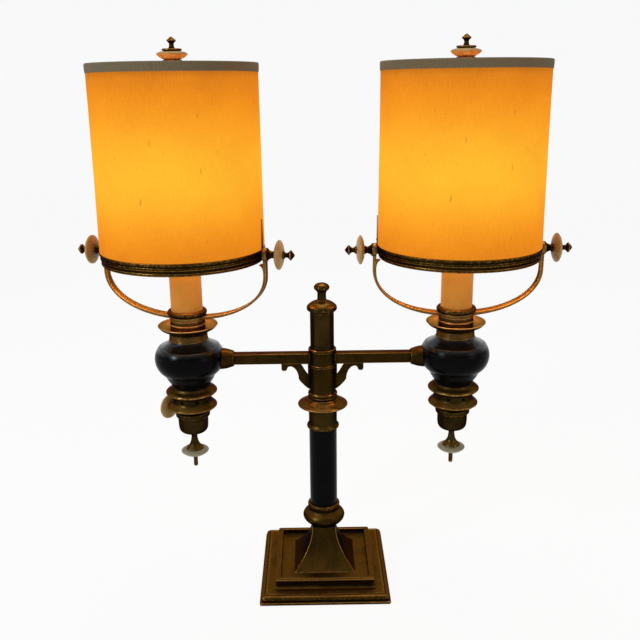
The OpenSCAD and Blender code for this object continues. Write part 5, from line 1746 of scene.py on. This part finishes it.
    def build_braid(self, bench: Bench, place: Matrix, foot: float) -> Object:
        """Builds the corded braid round the top, scalloped along its lower edge.

        Args:
            bench: Where it is dressed.
            place: The lamp's axis.
            foot: Height of the shade's foot.
        Returns:
            The braid.
        """
        top = foot + self.high
        inner = self.head_radius - self.cloth_thick - 0.3
        outer = self.head_radius + 0.75
        outline = ((inner, 0.45, 0.3), (inner, -2.0, 0.3), (self.head_radius - 0.1, -2.2, 0.1),
                   (self.head_radius, -self.braid_high + 0.4, 0.2),
                   (outer - 0.3, -self.braid_high + 0.5, 0.4),
                   (outer, -self.braid_high * 0.5, 2.0), (outer, -0.6, 0.8),
                   (self.head_radius + 0.2, 0.5, 0.6))
        braid = Shape()
        braid.turn(outline, at(z=top), closed=True, columns=self.braid_ribs * 4, longest=1.6,
                   fillet=0.5)
        for vert in braid.mesh.verts:
            radius = math.hypot(vert.co.x, vert.co.y)
            turn = math.atan2(vert.co.y, vert.co.x)
            rib = abs(math.sin(self.braid_ribs / 2 * turn))
            proud = max(0.0, min(1.0, (radius - self.head_radius) / 0.5))
            hang = max(0.0, min(1.0, (top - vert.co.z - 5.0) / 3.5))
            scale = (radius + proud * (0.15 * rib - 0.06)) / radius
            vert.co = Vector((vert.co.x * scale, vert.co.y * scale,
                              vert.co.z - hang * (0.7 * rib ** 0.7 - 0.4)))
        bmesh.ops.transform(braid.mesh, matrix=place, verts=braid.mesh.verts)
        piece = braid.finish(self.side.node("top_braid"))
        return bench.deliver(piece, self.body, Finish.LINEN, material=CordedBraid(
            self.side.node("braid_cords")).build())

    def build_cloth(self, bench: Bench, place: Matrix) -> None:
        """Args:
            bench: Where they are dressed.
            place: The lamp's axis.
        """
        side = self.side
        node = side.node("shade")
        foot = bench.low(node)
        linen = LitLinen(side.node("lit_linen"), bench.axis_x(side) * MM,
                         self.bright_turn).build()
        cloth = self.wall(side.node("linen"), place, foot, 0.0, 0.1, self.high - 0.3)
        bench.deliver(cloth, self.body, Finish.LINEN, node, material=linen)
        liner = self.wall(side.node("liner"), place, foot, self.cloth_thick + 0.15, 0.2,
                          self.high - 0.6)
        bench.deliver(liner, self.body, Finish.LINEN, node, material=WarmCard(
            side.node("liner_card"), (0.50, 0.30, 0.10), (0.42, 0.22, 0.06),
            (1.0, 0.50, 0.06), 0.40, 0.455, 0.30).build())
        for piece, thick in ((cloth, self.cloth_thick), (liner, 0.45)):
            wall = piece.modifiers.new("thickness", "SOLIDIFY")
            wall.thickness = thick * MM
            wall.offset = -1.0
        seam = Shape()
        sweep = 6.0
        strip = ((self.foot_radius - 0.2, 1.0, 0.1), (self.foot_radius + 0.3, 1.0, 0.1),
                 (self.head_radius + 0.3, self.high - self.braid_high, 0.1),
                 (self.head_radius - 0.2, self.high - self.braid_high, 0.1))
        start = Matrix.Rotation(math.radians(90 - sweep / 2), 4, "Z")
        seam.turn(strip, place @ at(z=foot) @ start, closed=True, columns=10, longest=6.0,
                  sweep=sweep, fillet=0.1)
        strip_piece = bench.deliver(seam.finish(side.node("back_seam")), self.body,
                                    Finish.LINEN, material=linen)
        braid = self.build_braid(bench, place, foot)

    def build(self, bench: Bench) -> None:
        """Builds the pieces that tilt.

        Args:
            bench: Where they are dressed.
        """
        side = self.side
        place = at(bench.axis_x(side))
        turned_place = at(bench.axis_x(side), turn=bench.tilt_turn(side))
        ring = self.build_gallery(bench, place, turned_place)
        self.build_cloth(bench, place)
        bench.keep_node(side.node("shade_spider"), Finish.OLD_BRASS)
        disc_foot = bench.low(side.node("finial_disc"))
        node = side.node("finial")
        bench.turned(side.node("finial_cup"), self.cup, place @ at(z=disc_foot - 3.2),
                     self.body, Finish.BRONZE, node, fillet=1.0, columns=64)
        bench.turned(side.node("top_disc"), self.disc, place @ at(z=disc_foot), self.body,
                     Finish.IVORY, side.node("finial_disc"), fillet=2.0)
        bench.turned(side.node("fleuron"), self.tip, place @ at(z=disc_foot + 8.8), self.body,
                     Finish.BRONZE, node, columns=64)


@dataclass
class Knob:
    """One knob on a shade's pivot: stem, ivory disc, and washer with a pointed bud."""

    side: Side
    place: Place
    stem: Outline = ((7.4, 0, 0.2), (7.2, 0.8, 0.6), (5.4, 2.2, 1.5), (4.1, 4.4, 1.5),
                     (3.5, 6.6, 1.0), (5.2, 9.2, 0.2))
    disc: Outline = ((5.1, 0, 0.1), (8.8, 0.35), (12.5, 1.5), (14.9, 2.75), (15.85, 3.5, 0.8),
                     (16, 4.4, 0.7), (15.85, 5.3, 0.8), (14.9, 6.05), (12.5, 7.3),
                     (8.8, 8.45), (5.1, 8.8, 0.1))
    tip: Outline = ((4.4, 0, 0.2), (4.6, 0.8, 0.4), (3.4, 1.7, 0.5), (2.7, 2.8, 0.8),
                    (2.6, 4.6, 1.0), (3.3, 6.0, 0.8), (4.9, 7.2, 0.5), (5.5, 8.1, 0.4),
                    (5.3, 8.9, 0.4), (3.9, 9.9, 0.5), (2.9, 10.8, 0.4), (1.1, 12.3, 0.4),
                    (0.0, 12.8))
    stem_long: float = 9.2
    disc_thick: float = 8.8

    def build(self, bench: Bench) -> None:
        """Builds the knob's pieces.

        Args:
            bench: Where they are dressed.
        """
        label = self.side.node(self.place.value)
        where = bench.along_joint(f"{label}_knob_turn")
        body = f"{label}_grip"
        node = f"{label}_knob"
        bench.turned(f"{label}_knob_stem", self.stem, where, body, Finish.BRONZE, node,
                     columns=48)
        bench.turned(f"{label}_knob_disc", self.disc, where @ at(z=self.stem_long), body,
                     Finish.IVORY, f"{label}_disc", fillet=2.0)
        bench.turned(f"{label}_knob_bud", self.tip,
                     where @ at(z=self.stem_long + self.disc_thick), body, Finish.BRONZE, node,
                     columns=48)


@dataclass
class Switch:
    """The turn switch on the left lamp's cup: shaft, ivory disc and domed nut."""

    shaft: Outline = ((2.2, 12.0, 0.1), (2.2, 19.5, 0.1), (3.0, 19.9, 0.2), (3.0, 21.0, 0.3),
                      (2.2, 22.0, 0.5), (2.2, 28.4, 1.2), (4.0, 31.6, 1.2), (5.0, 32.8, 0.2))
    disc_at: float = 32.8
    disc_thick: float = 8.8
    disc_scale: float = 14.5 / 16.0
    nut: Outline = ((4.6, 0, 0.2), (4.7, 0.9, 0.4), (3.6, 1.6, 0.4), (3.2, 2.4, 0.4),
                    (1.8, 3.3, 0.6), (0.0, 3.6))

    def build(self, bench: Bench) -> None:
        """Builds the switch's pieces.

        Args:
            bench: Where they are dressed.
        """
        where = bench.along_joint("switch_turn")
        sample = Knob(Side.LEFT, Place.OUTER)
        bench.turned("switch_stem", self.shaft, where, "switch_grip", Finish.OLD_BRASS,
                     "switch_shaft", columns=40)
        disc = [(corner[0] * self.disc_scale, *corner[1:]) for corner in sample.disc]
        bench.turned("switch_turn_disc", disc, where @ at(z=self.disc_at), "switch_grip",
                     Finish.IVORY, "switch_disc", fillet=2.0)
        bench.turned("switch_nut", self.nut, where @ at(z=self.disc_at + self.disc_thick),
                     "switch_grip", Finish.BRONZE, "switch_shaft", columns=40)
        bench.keep_node("switch_body", Finish.RESIN)


# The studio


@dataclass
class Studio:
    """The pale floor that rises all round, the soft lights and the camera."""

    focal_px: float = 801.24
    image_px: float = 640.0
    sensor: float = 36.0
    pitch: float = 16.29
    roll: float = -0.62
    yaw: float = 0.45
    eye: Colour = (-0.00893, -0.86043, 0.56879)
    floor: Outline = ((2.2, 0.0), (2.8, 0.04), (3.2, 0.25), (3.4, 0.7), (3.45, 1.5))

    def build_camera(self) -> Object:
        """Places the camera where the photograph was taken from.

        Returns:
            The camera.
        """
        pitch, roll, yaw = (math.radians(a) for a in (self.pitch, self.roll, self.yaw))
        ahead = Vector((math.sin(yaw) * math.cos(pitch), math.cos(yaw) * math.cos(pitch),
                        -math.sin(pitch)))
        level = Vector((math.cos(yaw), -math.sin(yaw), 0.0))
        above = level.cross(ahead)
        right = level * math.cos(roll) + above * math.sin(roll)
        up = above * math.cos(roll) - level * math.sin(roll)
        data = bpy.data.cameras.new("photo_camera")
        data.sensor_width = self.sensor
        data.lens = self.sensor * self.focal_px / self.image_px
        data.clip_start = 0.02
        data.clip_end = 30.0
        camera = bpy.data.objects.new("photo_camera", data)
        camera.matrix_world = (Matrix.Translation(self.eye)
                               @ Matrix((right, up, -ahead)).transposed().to_4x4())
        bpy.context.scene.collection.objects.link(camera)
        bpy.context.scene.camera = camera
        return camera

    def floor_paper(self) -> bpy.types.Material:
        """White paper that the camera and shiny surfaces see white, with a soft shadow.

        Returns:
            The material.
        """
        g = Graph("floor_paper")
        rays = g.node("ShaderNodeLightPath").outputs
        seen = g.math("MAXIMUM", rays["Is Camera Ray"], rays["Is Glossy Ray"])
        seen = g.math("MAXIMUM", seen, rays["Is Transmission Ray"])
        tooth = g.noise(g.coordinates(), 300, 3)
        cloud = g.noise(g.coordinates(), 4, 2)
        paper = g.mix(g.remap(cloud, 0.3, 0.7), (0.86, 0.86, 0.86), (0.88, 0.88, 0.88))
        g.set_shader(Base_Color=paper, Roughness=0.9, Specular_IOR_Level=0.1,
                     Normal=g.bump(tooth, 0.0001))
        white = g.node("ShaderNodeEmission")
        g.feed(white.inputs["Color"], (1.0, 1.0, 1.0))
        g.feed(white.inputs["Strength"], 1.0)
        blend = g.node("ShaderNodeMixShader")
        g.feed(blend.inputs[0], g.math("MULTIPLY", seen, 0.9))
        g.tree.links.new(g.shader.outputs[0], blend.inputs[1])
        g.tree.links.new(white.outputs[0], blend.inputs[2])
        g.tree.links.new(blend.outputs[0], g.output.inputs[0])
        return g.material

    def build_floor(self) -> None:
        """Builds the floor, one wide dish whose rim rises beyond the view."""
        dish = Shape()
        corners = [(radius / MM, high / MM, 900.0) for radius, high in self.floor]
        rows = softened([(0.0, 0.0), *corners], 900.0)
        made = [dish.mesh.verts.new((row.x, 0, row.y)) for row in rows]
        edges = [dish.mesh.edges.new(pair) for pair in zip(made, made[1:])]
        bmesh.ops.spin(dish.mesh, geom=made + edges, cent=(0, 0, 0), axis=(0, 0, 1),
                       angle=math.tau, steps=96, use_merge=True)
        bmesh.ops.remove_doubles(dish.mesh, verts=dish.mesh.verts, dist=0.01)
        floor = dish.finish("studio_floor")
        for face in floor.data.polygons:
            if face.normal.z < 0 and face.center.z < 0.001:
                floor.data.flip_normals()
                break
        floor.data.materials.append(self.floor_paper())

    def add_light(self, name: str, where: Colour, aim: Colour, size: float, power: float,
                  colour: Colour) -> None:
        """Adds a soft round light.

        Args:
            name: Its name.
            where: Its place.
            aim: What it shines at.
            size: Its width in metres.
            power: Its power in watts.
            colour: Its colour.
        """
        data = bpy.data.lights.new(name, "AREA")
        data.shape = "DISK"
        data.size = size
        data.energy = power
        data.color = colour
        light = bpy.data.objects.new(name, data)
        light.visible_camera = False
        back = (Vector(where) - Vector(aim)).normalized()
        light.matrix_world = Matrix.Translation(where) @ facing(back)
        bpy.context.scene.collection.objects.link(light)

    def build_lights(self) -> None:
        """Builds the soft lights and the grey room round them."""
        self.add_light("window_left", (-1.5, -1.1, 1.25), (0, 0, 0.3), 0.5, 17.0,
                       (0.74, 0.90, 1.0))
        self.add_light("fill_right", (1.7, -1.2, 1.0), (0, 0, 0.3), 0.9, 6.0, (1.0, 0.90, 0.78))
        self.add_light("top_soft", (0.1, 0.5, 2.0), (0, 0, 0.2), 1.2, 11.0, (1.0, 0.93, 0.84))
        world = bpy.data.worlds.new("grey_room")
        world.use_nodes = True
        backdrop = world.node_tree.nodes["Background"]
        backdrop.inputs["Color"].default_value = (0.92, 0.96, 1.0, 1.0)
        backdrop.inputs["Strength"].default_value = 0.42
        bpy.context.scene.world = world

    def build(self) -> None:
        """Builds the floor, the lights and the camera."""
        self.build_floor()
        self.build_lights()
        self.build_camera()
        view = bpy.context.scene.view_settings
        view.view_transform = "Standard"
        LOG.info("studio: floor, lights and camera")


def clear_scene() -> None:
    """Removes whatever Blender's start-up file left in the scene."""
    for leftover in list(bpy.data.objects):
        bpy.data.objects.remove(leftover, do_unlink=True)


def main() -> None:
    """Builds the lamp over its frame, then the studio."""
    logging.basicConfig(level=logging.INFO, format="%(name)s: %(message)s")
    clear_scene()
    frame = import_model()
    bench = Bench(frame, make_finishes())
    Base().build(bench)
    Column().build(bench)
    Arm().build(bench)
    for side in Side:
        Lamp(side).build(bench)
        Shade(side).build(bench)
        for place in Place:
            Knob(side, place).build(bench)
    Switch().build(bench)
    Studio().build()
    bpy.context.view_layer.update()


if __name__ == "__main__":
    main()
